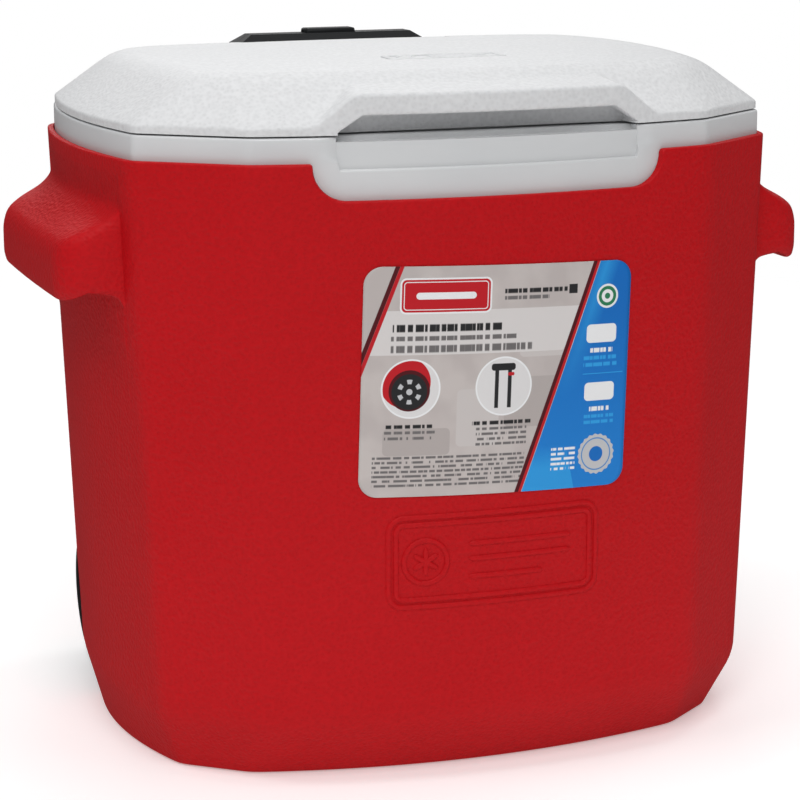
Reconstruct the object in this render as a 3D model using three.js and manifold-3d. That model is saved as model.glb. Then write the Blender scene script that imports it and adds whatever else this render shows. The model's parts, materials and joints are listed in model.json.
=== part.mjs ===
// A wheeled cooler chest: a moulded outer shell with two ear handles, a white inner liner, an
// insulated lid on two rear hinges, a two-stage telescoping pull handle in a channel at the back
// and two wheels let into the rear corners. Millimetres, +Z up, front towards -Y. The base stands
// on z = 0 and the origin is the centre of the footprint.

import * as THREE from "three";
import { mergeVertices } from "three/addons/utils/BufferGeometryUtils.js";
import Module from "manifold-3d";

const wasm = await Module();
wasm.setup();

// ---------------------------------------------------------------- driving dimensions

const GAP = 0.3; // air left between pieces that touch
const THROUGH = 1000; // reach of a cut that runs out of the body

// plan outline of the white rim
const HALF_WIDTH = 210; // to the middle of each bowed end
const FRONT_DEPTH = 168.5; // centre to the middle of the bowed front
const REAR_DEPTH = 166; // centre to the flat back
const FRONT_BOW = 20.2;
const END_BOW = 12.2;
const CORNER_X = 56.5; // corner facet, measured across
const CORNER_Y = 45.8; // corner facet, measured front to back

// heights
const RIM_Z = 386; // parting line of liner and lid
const BAND_HEIGHT = 14.5; // white band that shows above the shell
const SHELL_TOP = RIM_Z - BAND_HEIGHT;
const FOLD_Z = 37; // start of the tuck-in at the foot
const LID_GAP = 1;

// shell
const SHELL_WALL = 3;
const SKIRT_CLEARANCE = 1.5; // inside of the shell to the liner's skirt at the shell's top
const SHELL_STEP = SHELL_WALL + SKIRT_CLEARANCE; // shell stands this far outside the white band
const FRONT_DRAFT = 0.02;
const END_DRAFT = 0.031;
const BEND1_DRAFT = 0.0375;
const BEND2_DRAFT = 0.016;
const SIDE_DRAFT_Y = 0.01;
const FRONT_TUCK = 28.5;
const CORNER_TUCK = 14.5;
const END_TUCK = 10;
const REAR_TUCK = 4;

// ear handles
const EAR_OUT = 31; // from the rim's end to the outside of an ear
const EAR_REACH = HALF_WIDTH + EAR_OUT;
const EAR_ROOT_TOP = RIM_Z - 40;
const EAR_SHOULDER = EAR_ROOT_TOP - 28;
const EAR_LIP = EAR_SHOULDER - 31;
const EAR_ROOT_IN = 6; // how far an ear starts inside the bend of the wall
const EAR_HALF_LENGTH = 82;
const EAR_FLARE = 15; // extra half length where the ear meets the wall
const EAR_SCOOP = 17; // depth of the finger hollow
const EAR_LIP_THICK = 9; // leaves a finger gap of about 20 to the wall

// liner
const LINER_WALL = 2.2;
const RIM_WIDTH = 25; // top face of the liner, outside to cavity
const SKIRT_DEPTH = 41; // height of the outer skirt of the liner
const SKIRT_WALL = 3;
const FLOOR_Z = 38; // inside floor of the cavity
const CAVITY_DRAFT = 0.035;
const APRON_HALF_TOP = 107.5;
const APRON_HALF_BOTTOM = 88;
const APRON_DEPTH = 36; // below the parting line
const APRON_ARC_POINTS = 6;
const GRIP_RECESS_HALF = 92.3;
const GRIP_RECESS_DEPTH = 18.5; // below the parting line
const GRIP_RECESS_IN = 15; // front of the rim to the back of the finger recess

// lid
const LID_SET_IN = 0.8; // lid edge inside the rim edge
const LID_EDGE = 5; // upright edge of the lid
const LID_ROUND = 3;
const LID_SLOPE_RUN = 34;
const LID_SLOPE_RISE = 32; // parting line to the crease
const LID_CROWN_RUN = 92;
const LID_CROWN_RISE = 36.5;
const LID_WALL = 2.6;
const PAN_WALL = 2.2;
const PLUG_DEPTH = 11; // plug of the lid inside the cavity
const PLUG_CLEARANCE = 3;
const BROW_HALF_BOTTOM = 107;
const BROW_HALF_TOP = 83;
const BROW_RISE = 24;
const BROW_RUN = 58;
const LID_POCKET_HALF_TOP = 77.5;
const LID_POCKET_RISE = 12;
const LID_POCKET_IN = 24;


// telescoping handle
const TUBE_X = 44;
const TUBE_Y = REAR_DEPTH - 10;
const OUTER_TUBE_R = 9.5;
const TUBE_WALL = 1.2;
const SLIDE_CLEARANCE = 0.4;
const TUBE_SIDES = 20;
const OUTER_TUBE_TOP = RIM_Z - 40;
const MID_TUBE_TOP = OUTER_TUBE_TOP + 16;
const INNER_TUBE_TOP = RIM_Z + 19;
const TUBE_FOOT_Z = 28;
const FOOT_HEIGHT = 6;
const BRACKET_PLATE = 4;
const BRACKET_HEIGHT = 24;
const CLAMP_HEIGHT = 14;
const CLAMP_DROP = 4; // the top clamp stands this far above the foot of its plate
const CLAMP_MARGIN = 3.6;
const BRACKET_SCREW_OUT = 9; // from the side of a fixed tube to a bracket's screw
const BRACKET_SCREW_LENGTH = 14;

// handle channel, wide enough for the tubes and the screws beside them
const CHANNEL_HALF = TUBE_X + OUTER_TUBE_R + BRACKET_SCREW_OUT + 7.5;
const CHANNEL_FLOOR = TUBE_Y - 30;
const CHANNEL_SIDE_GAP = 2; // bracket plate to the side of the channel
const LID_NOTCH_EXTRA = 10; // the lid clears the channel by this

// grip and release
const GLIDE_STEP = 8; // each tube's foot stands this far above the one outside it
const GLIDE_WALL_GAP = 1; // rod to the bore of a glide
const BRIDGE_MARGIN = 1; // bridge beyond the fixed tubes
const BRIDGE_LIFT = 2; // fixed tubes to the underside of the bridge
const BRIDGE_SINK = 3; // top of the bridge below the tops of its tubes
const GRIP_HALF = CHANNEL_HALF - 4;
const GRIP_HALF_THICK = 14;
const GRIP_BOTTOM = RIM_Z + 10;
const GRIP_TOP = GRIP_BOTTOM + 27;
const GRIP_CHAMFER = 6;
const GRIP_SHOULDER_RUN = 9.6; // length of the slanted shoulder at each end of the grip
const GRIP_FOOT_CHAMFER = 3;
const GRIP_FOOT_ROUND = 4;
const GRIP_SKIN = 3; // plastic left in front of a grip screw's tip
const GRIP_SCREW_SINK = 1;
const GRIP_SCREW_X = TUBE_X * 0.6;
const GRIP_SCREW_Z = GRIP_BOTTOM + 5;
const SPRING_SEAT = 2.5; // floor of the grip under the spring
const BUTTON_HALF = 17.5;
const BUTTON_HALF_THICK = 7;
const BUTTON_TOP = GRIP_TOP + 3;
const BUTTON_TRAVEL = 4;
const YOKE_HEIGHT = 3;
const YOKE_CLEARANCE = 2;
const ROD_R = 2;
const SPRING_R = 4.2;
const SPRING_WIRE_R = 0.6;
const SPRING_TURNS = 4;

// wheels
const WHEEL_R = 50;
const WHEEL_WIDTH = 34;
const WHEEL_LIFT = 1; // wheel clears the ground while the chest stands on its base
const WHEEL_Y = REAR_DEPTH - 38;
const WELL_INNER_X = HALF_WIDTH - 64;
const WELL_CLEARANCE = 6;
const AXLE_R = 5;
const AXLE_CLEARANCE = 0.3;
const AXLE_BURIED = 18;
const WASHER_R = 10;
const WASHER_THICK = 1.6;
const CAP_R = 9;
const CAP_THICK = 4;
const CAP_SKIN = 1.2; // what closes the cap over the end of the axle
const AXLE_END_GAP = 0.3;
const HUB_R = 14;
const WHEEL_RIM_INNER_R = 40;
const WHEEL_WEB = 7;
const WHEEL_DISH = 4; // outer face of the wheel to its web
const TREAD_ROUND_R = 2;
const TREAD_ROUND_X = 3;
const WHEEL_HOLES = 5;
const WHEEL_HOLE_R = 7;
const WHEEL_HOLE_PITCH_R = 27;
const WHEEL_SIDES = 32;

// hinges
const HINGE_X = 112;
const HINGE_HALF = 17;
const HINGE_LEAF = 2.2;
const HINGE_AXIS_OUT = 5.8; // behind the flat back of the rim
const HINGE_AXIS_UP = 0.5; // above the parting line
const KNUCKLE_R = 3.8;
const KNUCKLE_GAP = 0.4;
const HINGE_PIN_R = 2;
const HINGE_PIN_CLEARANCE = 0.3;
const LID_PAD_HEIGHT = 16;
const LID_PAD_DEPTH = 30;
const HINGE_SCREW_X = 10;
const LEAF_DROP = 5.5; // screw line to the foot of the body leaf
const LID_LEAF_HEIGHT = 12.5;
const LEAF_PIN_CLEAR = 0.6;
const BODY_WEB = 2; // height of the web between a knuckle and its leaf
const LID_WEB = 2.4;
const PIN_OVERHANG = 1;

// label and screws
const LABEL_WIDTH = 166.5;
const LABEL_HEIGHT = 136;
const LABEL_RADIUS = 11;
const LABEL_X = 1.7;
const LABEL_Z = RIM_Z - 144;
const LABEL_TURN = -1.66; // degrees, the label sits slightly askew
const LABEL_THICK = 0.4;
const SCREW_R = 1.8;
const SCREW_HEAD_R = 3.4;
const SCREW_HEAD = 1.6;
const SCREW_LENGTH = 10;

// ---------------------------------------------------------------- materials

const finish = (color, roughness, metalness) =>
  new THREE.MeshStandardMaterial({ color, roughness, metalness });
const RED = finish(0xc8101e, 0.5, 0);
const WHITE = finish(0xe6e7e8, 0.5, 0);
const FOAM = finish(0xf1e4b8, 0.9, 0);
const BLACK = finish(0x17181a, 0.55, 0);
const TUBE_BLACK = finish(0x202124, 0.35, 0.4);
const STEEL = finish(0xb4b7bb, 0.3, 1);
const LABEL = finish(0xc9c4c2, 0.35, 0);

// ---------------------------------------------------------------- solids

// A closed three.js geometry as a solid that can be joined and cut.
function solidOf(geometry) {
  const bare = new THREE.BufferGeometry();
  bare.setAttribute("position", geometry.getAttribute("position"));
  if (geometry.index) bare.setIndex(geometry.index);
  const merged = mergeVertices(bare, 1e-4);
  return new wasm.Manifold(
    new wasm.Mesh({
      numProp: 3,
      vertProperties: new Float32Array(merged.attributes.position.array),
      triVerts: new Uint32Array(merged.index.array),
    }),
  );
}

// A solid as a named three.js mesh.
function meshOf(name, solid, material) {
  const raw = solid.getMesh();
  const geometry = new THREE.BufferGeometry();
  geometry.setAttribute("position", new THREE.BufferAttribute(raw.vertProperties, 3));
  geometry.setIndex(new THREE.BufferAttribute(raw.triVerts, 1));
  geometry.computeVertexNormals();
  const mesh = new THREE.Mesh(geometry, material);
  mesh.name = name;
  return mesh;
}

const join = (solids) => solids.reduce((all, one) => all.add(one));
const cut = (solid, tools) => tools.reduce((rest, tool) => rest.subtract(tool), solid);

// Rings of equal length at rising heights, joined by side faces and closed by flat caps.
function loft(rings) {
  const count = rings[0].points.length;
  const positions = rings.flatMap((ring) => ring.points.flatMap((p) => [p.x, p.y, ring.z]));
  const index = [];
  for (let r = 0; r + 1 < rings.length; r += 1) {
    for (let i = 0; i < count; i += 1) {
      const next = (i + 1) % count;
      const low = r * count;
      const high = low + count;
      index.push(low + i, low + next, high + next, low + i, high + next, high + i);
    }
  }
  const last = (rings.length - 1) * count;
  for (const [a, b, c] of THREE.ShapeUtils.triangulateShape(rings[0].points, [])) {
    index.push(a, c, b);
  }
  for (const [a, b, c] of THREE.ShapeUtils.triangulateShape(rings.at(-1).points, [])) {
    index.push(last + a, last + b, last + c);
  }
  const geometry = new THREE.BufferGeometry();
  geometry.setAttribute("position", new THREE.Float32BufferAttribute(positions, 3));
  geometry.setIndex(index);
  return solidOf(geometry);
}

const prism = (points, z0, z1) => loft([{ points, z: z0 }, { points, z: z1 }]);

// An outline of [u, v] pairs carried from one place to another along X (u is y, v is z) ...
function prismX(pairs, x0, x1) {
  const points = pairs.map(([u, v]) => new THREE.Vector2(u, v));
  const shape = new THREE.Shape(points);
  const geometry = new THREE.ExtrudeGeometry(shape, { depth: x1 - x0, bevelEnabled: false });
  const along = new THREE.Matrix4().makeBasis(
    new THREE.Vector3(0, 1, 0),
    new THREE.Vector3(0, 0, 1),
    new THREE.Vector3(1, 0, 0),
  );
  geometry.applyMatrix4(along.setPosition(x0, 0, 0));
  return solidOf(geometry);
}

// ... or along Y (u is x, v is z).
function prismY(pairs, y0, y1) {
  const points = pairs.map(([u, v]) => new THREE.Vector2(v, u));
  const shape = new THREE.Shape(points);
  const geometry = new THREE.ExtrudeGeometry(shape, { depth: y1 - y0, bevelEnabled: false });
  const along = new THREE.Matrix4().makeBasis(
    new THREE.Vector3(0, 0, 1),
    new THREE.Vector3(1, 0, 0),
    new THREE.Vector3(0, 1, 0),
  );
  geometry.applyMatrix4(along.setPosition(0, y0, 0));
  return solidOf(geometry);
}

function box(x0, x1, y0, y1, z0, z1) {
  const geometry = new THREE.BoxGeometry(x1 - x0, y1 - y0, z1 - z0);
  geometry.translate((x0 + x1) / 2, (y0 + y1) / 2, (z0 + z1) / 2);
  return solidOf(geometry);
}

// A round bar from one point to another; bores are made with it too.
function bar(radius, from, to, count = 16) {
  const start = new THREE.Vector3(...from);
  const end = new THREE.Vector3(...to);
  const run = end.clone().sub(start);
  const geometry = new THREE.CylinderGeometry(radius, radius, run.length(), count);
  geometry.translate(0, run.length() / 2, 0);
  const turn = new THREE.Quaternion();
  turn.setFromUnitVectors(new THREE.Vector3(0, 1, 0), run.normalize());
  geometry.applyQuaternion(turn);
  geometry.translate(start.x, start.y, start.z);
  return solidOf(geometry);
}

const sides = [
  { name: "left", way: -1 },
  { name: "right", way: 1 },
];

// ---------------------------------------------------------------- plan outline

// How far each corner of the outline has moved in at a height: draft, then the tuck-in at the foot.
function insetAt(z) {
  const fall = Math.max(0, SHELL_TOP - Math.max(z, FOLD_Z));
  const tuck = Math.max(0, 1 - z / FOLD_Z);
  return {
    front: FRONT_DRAFT * fall + FRONT_TUCK * tuck,
    rear: SIDE_DRAFT_Y * fall + REAR_TUCK * tuck,
    end: END_DRAFT * fall + END_TUCK * tuck,
    bend1X: BEND1_DRAFT * fall + CORNER_TUCK * tuck,
    bend1Y: SIDE_DRAFT_Y * fall + CORNER_TUCK * tuck,
    bend2X: BEND2_DRAFT * fall,
    bend2Y: FRONT_DRAFT * fall + FRONT_TUCK * tuck,
  };
}

// Half of the outline, from the front centre round to the back centre, then its mirror image.
function outlineAt(z) {
  const inset = insetAt(z);
  const bend1X = HALF_WIDTH - END_BOW;
  const bend2 = new THREE.Vector2(
    bend1X - CORNER_X - inset.bend2X,
    -(FRONT_DEPTH - FRONT_BOW) + inset.bend2Y,
  );
  const bend1 = new THREE.Vector2(
    bend1X - inset.bend1X,
    -(FRONT_DEPTH - FRONT_BOW - CORNER_Y) + inset.bend1Y,
  );
  const rear2 = new THREE.Vector2(bend1X - CORNER_X - inset.bend2X, REAR_DEPTH - inset.rear);
  const rear1 = new THREE.Vector2(bend1.x, REAR_DEPTH - CORNER_Y - inset.rear);
  const half = [];
  const frontSteps = 5;
  for (let i = 0; i < frontSteps; i += 1) {
    const t = i / frontSteps;
    const front = FRONT_DEPTH - inset.front;
    half.push(new THREE.Vector2(bend2.x * t, -front + (front + bend2.y) * t * t));
  }
  half.push(bend2);
  const endSteps = 6;
  const endX = HALF_WIDTH - inset.end;
  for (let i = 0; i <= endSteps; i += 1) {
    const t = (2 * i) / endSteps - 1;
    const y = bend1.y + ((rear1.y - bend1.y) * (t + 1)) / 2;
    half.push(new THREE.Vector2(endX - (endX - bend1.x) * t * t, y));
  }
  half.push(rear2);
  const mirrored = half.slice(1).reverse();
  return half.concat(mirrored.map((p) => new THREE.Vector2(-p.x, p.y)));
}

// Every edge of an outline moved outwards by a distance, meeting at mitred corners.
function grow(points, distance) {
  const normal = (a, b) => new THREE.Vector2(b.y - a.y, a.x - b.x).normalize();
  return points.map((point, i) => {
    const before = points[(i + points.length - 1) % points.length];
    const after = points[(i + 1) % points.length];
    const first = normal(before, point);
    const bisector = first.clone().add(normal(point, after)).normalize();
    return point.clone().addScaledVector(bisector, distance / bisector.dot(first));
  });
}

// The body's drafted form between two heights, grown by a distance. It always has a ring at the
// fold and at the shell's top, so forms grown by different distances stay parallel.
function bodyForm(distance, z0, z1) {
  const heights = [0, FOLD_Z, SHELL_TOP, SHELL_TOP + 1];
  const whole = loft(heights.map((z) => ({ points: grow(outlineAt(z), distance), z })));
  return cut(whole, [
    box(-THROUGH, THROUGH, -THROUGH, THROUGH, -THROUGH, z0),
    box(-THROUGH, THROUGH, -THROUGH, THROUGH, z1, THROUGH),
  ]);
}

const rimOutline = outlineAt(RIM_Z);
const rimForm = (distance, z0, z1) => prism(grow(rimOutline, distance), z0, z1);

// The channel at the back, as a block to cut away; margin is the wall left around it.
const channelBlock = (margin, z0, z1) =>
  box(
    -CHANNEL_HALF - margin,
    CHANNEL_HALF + margin,
    CHANNEL_FLOOR - margin,
    THROUGH,
    z0,
    z1,
  );

// ---------------------------------------------------------------- wheel wells

const wheelZ = WHEEL_R + WHEEL_LIFT;
const wellR = WHEEL_R + WELL_CLEARANCE;

// The arch over a wheel, open to the side, the back and the ground.
function wellBlock(way, margin, depthMargin) {
  const radius = wellR + margin;
  const profile = [
    [WHEEL_Y + radius, -THROUGH],
    [WHEEL_Y + radius, wheelZ],
  ];
  const steps = 12;
  for (let i = 1; i <= steps; i += 1) {
    const angle = (Math.PI * i) / steps;
    profile.push([WHEEL_Y + radius * Math.cos(angle), wheelZ + radius * Math.sin(angle)]);
  }
  profile.push([WHEEL_Y - radius, -THROUGH]);
  const inner = WELL_INNER_X - depthMargin;
  return way > 0 ? prismX(profile, inner, THROUGH) : prismX(profile, -THROUGH, -inner);
}

const wells = (margin) => sides.map(({ way }) => wellBlock(way, margin, margin));

// ---------------------------------------------------------------- ear handles

const earCentreY = (REAR_DEPTH - FRONT_DEPTH + FRONT_BOW) / 2;
const earRootX = HALF_WIDTH - END_BOW - EAR_ROOT_IN;

// One slice of an ear across its length: [x, z] pairs, from the wall over the top to the lip and
// back under the finger hollow. Reach is the slice's outermost x and scoop its hollow's depth.
function earSlice(reach, scoop) {
  const inLip = EAR_REACH - EAR_LIP_THICK;
  const slice = [
    [earRootX, EAR_LIP + 3],
    [earRootX + 17, EAR_LIP + 4 + scoop * 0.6],
    [earRootX + 25, EAR_LIP + 5 + scoop],
    [inLip - 2, EAR_LIP + 4 + scoop],
    [inLip + 1, EAR_LIP + 2],
    [EAR_REACH - 6, EAR_LIP],
    [EAR_REACH - 3, EAR_LIP + 1.5],
    [EAR_REACH, EAR_LIP + 6],
    [EAR_REACH, EAR_SHOULDER - 8],
    [EAR_REACH - 3, EAR_SHOULDER],
    [EAR_REACH - 11, EAR_SHOULDER + 8],
    [earRootX + 19, EAR_ROOT_TOP - 6],
    [earRootX + 9, EAR_ROOT_TOP + 3],
    [earRootX, EAR_ROOT_TOP + 8],
  ];
  const scale = (reach - earRootX) / (EAR_REACH - earRootX);
  return slice.map(([x, z]) => [earRootX + (x - earRootX) * scale, z]);
}

// The ear is a stack of slices, closed at both ends inside the wall.
function earSolid(way) {
  const last = EAR_HALF_LENGTH + EAR_FLARE;
  const stations = [
    [last, 0.02, 0],
    [EAR_HALF_LENGTH + 8, 0.5, 0.1],
    [EAR_HALF_LENGTH + 2, 0.84, 0.2],
    [EAR_HALF_LENGTH - 3, 0.94, 0.35],
    [EAR_HALF_LENGTH - 12, 0.975, 0.9],
    [EAR_HALF_LENGTH / 2, 0.99, 1],
  ];
  const mirrored = stations.map(([s, share, scoop]) => [-s, share, scoop]);
  const all = mirrored.concat([[0, 1, 1]], stations.slice().reverse());
  const reachOf = (share) => earRootX + (EAR_REACH - earRootX) * share;
  const rings = all.map(([s, share, scoop]) => ({
    points: earSlice(reachOf(share), EAR_SCOOP * scoop).map(([x, z]) => new THREE.Vector2(x, z)),
    z: s,
  }));
  const ear = loft(rings).rotate([90, 0, 0]).translate([0, earCentreY, 0]);
  return way > 0 ? ear : ear.mirror([1, 0, 0]);
}

// ---------------------------------------------------------------- outer shell

// The front of the shell is let down round the liner's apron, with round lower corners.
function apronOutline(margin) {
  const bottom = RIM_Z - APRON_DEPTH - margin;
  const drop = BAND_HEIGHT - APRON_DEPTH;
  const half = [[APRON_HALF_TOP + margin, RIM_Z + 20]];
  for (let i = 0; i <= APRON_ARC_POINTS; i += 1) {
    const angle = ((Math.PI / 2) * i) / APRON_ARC_POINTS;
    half.push([
      APRON_HALF_BOTTOM + margin + (APRON_HALF_TOP - APRON_HALF_BOTTOM) * Math.cos(angle),
      bottom - drop * (1 - Math.sin(angle)),
    ]);
  }
  return half.concat(half.slice().reverse().map(([x, z]) => [-x, z]));
}

const axleHoles = (radius, inner) =>
  sides.map(({ way }) =>
    bar(radius, [way * inner, WHEEL_Y, wheelZ], [way * THROUGH, WHEEL_Y, wheelZ]),
  );

const bracketScrewXs = sides.map(({ way }) => way * (TUBE_X + OUTER_TUBE_R + BRACKET_SCREW_OUT));
const topBracketZ = OUTER_TUBE_TOP - CLAMP_HEIGHT - CLAMP_DROP;
const footBracketZ = TUBE_FOOT_Z - FOOT_HEIGHT;
const bracketScrewZs = [topBracketZ + BRACKET_HEIGHT / 2, footBracketZ + BRACKET_HEIGHT / 2];
const bracketScrewHoles = (radius) =>
  bracketScrewXs.flatMap((x) =>
    bracketScrewZs.map((z) =>
      bar(radius, [x, CHANNEL_FLOOR - BRACKET_SCREW_LENGTH, z], [x, THROUGH, z], 10),
    ),
  );

function outerShell() {
  const outside = cut(bodyForm(SHELL_STEP, 0, SHELL_TOP), [
    channelBlock(0, -THROUGH, THROUGH),
    ...wells(0),
  ]);
  const inside = cut(bodyForm(SHELL_STEP - SHELL_WALL, SHELL_WALL, SHELL_TOP + 1), [
    channelBlock(SHELL_WALL, -THROUGH, THROUGH),
    ...wells(SHELL_WALL),
  ]);
  const ears = sides.map(({ way }) => earSolid(way));
  const earBacking = bodyForm(SHELL_STEP - SHELL_WALL, SHELL_WALL, SHELL_TOP + 1);
  const shell = cut(outside, [inside]).add(cut(join(ears), [earBacking]));
  return cut(shell, [
    prismY(apronOutline(0), -THROUGH, -FRONT_DEPTH / 2),
    ...axleHoles(AXLE_R + GAP, WELL_INNER_X - 20),
    ...bracketScrewHoles(SCREW_R + GAP),
  ]);
}

// ---------------------------------------------------------------- liner

// The cavity of the chest, grown by a wall; it narrows towards the floor.
function cavityForm(wall, z0, z1) {
  const ring = (z) => {
    const inset = RIM_WIDTH + CAVITY_DRAFT * (RIM_Z - Math.min(z, RIM_Z));
    return { points: grow(rimOutline, wall - inset), z };
  };
  const form = loft([ring(z0), ring(RIM_Z), ring(z1)].filter((r, i) => i !== 1 || z1 > RIM_Z));
  const channelWall = RIM_WIDTH + SHELL_STEP - wall;
  const wellWall = RIM_WIDTH - wall;
  return cut(form, [channelBlock(channelWall, -THROUGH, THROUGH), ...wells(wellWall)]);
}

const recessBack = -FRONT_DEPTH + GRIP_RECESS_IN;
const gripRecess = (margin) =>
  box(
    -GRIP_RECESS_HALF - margin,
    GRIP_RECESS_HALF + margin,
    -THROUGH,
    recessBack + margin,
    RIM_Z - GRIP_RECESS_DEPTH - margin,
    RIM_Z + THROUGH,
  );

const hingeScrewXs = sides.flatMap(({ way }) =>
  [-1, 1].map((end) => way * HINGE_X + end * HINGE_SCREW_X),
);
const bodyLeafZ = RIM_Z - BAND_HEIGHT / 2 - 0.4;
const lidLeafZ = RIM_Z + LID_GAP + LID_PAD_HEIGHT / 2 + 1;

const hingeScrewHoles = (z, radius) =>
  hingeScrewXs.map((x) =>
    bar(radius, [x, REAR_DEPTH - SCREW_LENGTH - GAP, z], [x, THROUGH, z], 10),
  );

function innerLiner() {
  const skirtFoot = RIM_Z - SKIRT_DEPTH;
  const rim = cut(rimForm(0, skirtFoot, RIM_Z), [
    channelBlock(SHELL_STEP, -THROUGH, THROUGH),
    gripRecess(0),
  ]);
  const under = cut(rimForm(-SKIRT_WALL, skirtFoot - 1, RIM_Z - SKIRT_WALL), [
    channelBlock(SHELL_STEP + SKIRT_WALL, -THROUGH, THROUGH),
    gripRecess(SKIRT_WALL),
  ]);
  const basin = cavityForm(LINER_WALL, FLOOR_Z - LINER_WALL, RIM_Z);
  const liner = cut(rim, [under]).add(basin);
  return cut(liner, [
    cavityForm(0, FLOOR_Z, RIM_Z + 1),
    ...hingeScrewHoles(bodyLeafZ, SCREW_R + GAP),
  ]);
}

// Foam fills the space between the shell and the liner.
function insulation() {
  const skirtFoot = RIM_Z - SKIRT_DEPTH - GAP;
  const inShell = SHELL_STEP - SHELL_WALL - GAP;
  const wallMargin = SHELL_WALL + GAP;
  const low = cut(bodyForm(inShell, wallMargin, skirtFoot), [
    channelBlock(wallMargin, -THROUGH, THROUGH),
    ...wells(wallMargin),
  ]);
  const skirtMargin = SKIRT_WALL + GAP;
  const high = cut(rimForm(-skirtMargin, skirtFoot - 1, RIM_Z - skirtMargin), [
    channelBlock(SHELL_STEP + skirtMargin, -THROUGH, THROUGH),
    gripRecess(skirtMargin),
  ]);
  const screwRoom = SCREW_R + 2 * GAP;
  return cut(low.add(high), [
    cavityForm(LINER_WALL + GAP, FLOOR_Z - LINER_WALL - GAP, RIM_Z + 1),
    ...axleHoles(AXLE_R + 2 * GAP, WELL_INNER_X - AXLE_BURIED - GAP),
    ...bracketScrewHoles(screwRoom),
    ...hingeScrewHoles(bodyLeafZ, screwRoom),
  ]);
}

// ---------------------------------------------------------------- lid

const lidBottom = RIM_Z + LID_GAP;

// The lid's outside: an upright edge, a rounded shoulder, sloping facets and a low crown. Thick is
// how far inside that surface the form lies.
function lidForm(thick, z0) {
  const edge = LID_SET_IN + thick;
  const topOf = (rise) => RIM_Z + rise - thick;
  const ring = (inset, z) => ({ points: grow(rimOutline, -inset), z });
  return loft([
    ring(edge, z0),
    ring(edge, lidBottom + LID_EDGE - thick * 0.5),
    ring(edge + LID_ROUND, lidBottom + LID_EDGE + LID_ROUND * 0.8 - thick * 0.8),
    ring(LID_SLOPE_RUN + thick * 0.4, topOf(LID_SLOPE_RISE)),
    ring(LID_CROWN_RUN, topOf(LID_CROWN_RISE)),
  ]);
}

// The brow over the finger pocket: an upright face whose slanted ends run down to the edge.
function browForm(thick) {
  const corner = (half, y, z) => [
    [-half + thick, y, z],
    [half - thick, y, z],
  ];
  const frontY = -FRONT_DEPTH + LID_SET_IN + thick;
  const backY = frontY + BROW_RUN;
  const topBack = RIM_Z + LID_SLOPE_RISE + 1 - thick;
  const points = [
    ...corner(BROW_HALF_BOTTOM, frontY, lidBottom + LID_EDGE),
    ...corner(BROW_HALF_BOTTOM, backY, lidBottom + LID_EDGE),
    ...corner(BROW_HALF_TOP, frontY, RIM_Z + BROW_RISE - thick),
    ...corner(BROW_HALF_TOP, backY, topBack),
  ];
  const faces = [
    [0, 2, 3, 1],
    [4, 5, 7, 6],
    [0, 1, 5, 4],
    [2, 6, 7, 3],
    [0, 4, 6, 2],
    [1, 3, 7, 5],
  ];
  const geometry = new THREE.BufferGeometry();
  geometry.setAttribute("position", new THREE.Float32BufferAttribute(points.flat(), 3));
  geometry.setIndex(faces.flatMap(([a, b, c, d]) => [a, b, c, a, c, d]));
  return solidOf(geometry).intersect(rimForm(-LID_SET_IN - thick, lidBottom, THROUGH));
}

// Upright pads on the back slope that the hinge leaves are screwed to.
const lidPads = (thick) =>
  sides.map(({ way }) => {
    const half = HINGE_HALF + 2 - thick;
    const back = REAR_DEPTH - LID_SET_IN - thick;
    const top = lidBottom + LID_PAD_HEIGHT - thick;
    const x = way * HINGE_X;
    return box(x - half, x + half, back - LID_PAD_DEPTH, back, lidBottom + LID_WALL, top);
  });

function lidPocket(margin) {
  const low = GRIP_RECESS_HALF + margin;
  const high = LID_POCKET_HALF_TOP + margin;
  const top = RIM_Z + LID_POCKET_RISE + margin;
  const profile = [
    [-low, -THROUGH],
    [-low, RIM_Z],
    [-high, top],
    [high, top],
    [low, RIM_Z],
    [low, -THROUGH],
  ];
  return prismY(profile, -THROUGH, -FRONT_DEPTH + LID_POCKET_IN + margin);
}

const lidNotch = (margin) => channelBlock(LID_NOTCH_EXTRA + margin, -THROUGH, THROUGH);

function lidOuter() {
  const outside = cut(join([lidForm(0, lidBottom), browForm(0), ...lidPads(0)]), [
    lidNotch(0),
    lidPocket(0),
  ]);
  const inside = cut(
    join([lidForm(LID_WALL, lidBottom - 1), browForm(LID_WALL), ...lidPads(LID_WALL)]),
    [lidNotch(LID_WALL), lidPocket(LID_WALL)],
  );
  return cut(outside, [inside, ...hingeScrewHoles(lidLeafZ, SCREW_R + GAP)]);
}

// The plug that drops into the cavity; wall is how far inside its outside the form lies.
function plugForm(wall, z0, z1) {
  const inset = RIM_WIDTH + PLUG_CLEARANCE + wall;
  const block = LID_NOTCH_EXTRA + RIM_WIDTH + wall;
  return cut(rimForm(-inset, z0, z1), [channelBlock(block, -THROUGH, THROUGH)]);
}

const plugFoot = RIM_Z - PLUG_DEPTH;

function lidPan() {
  const plate = cut(rimForm(-LID_SET_IN - LID_WALL - GAP, lidBottom, lidBottom + PAN_WALL), [
    lidNotch(LID_WALL + GAP),
    lidPocket(LID_WALL + GAP),
  ]);
  const plug = plugForm(0, plugFoot, lidBottom + PAN_WALL);
  return cut(plate.add(plug), [plugForm(PAN_WALL, plugFoot + PAN_WALL, lidBottom + PAN_WALL + 1)]);
}

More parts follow.
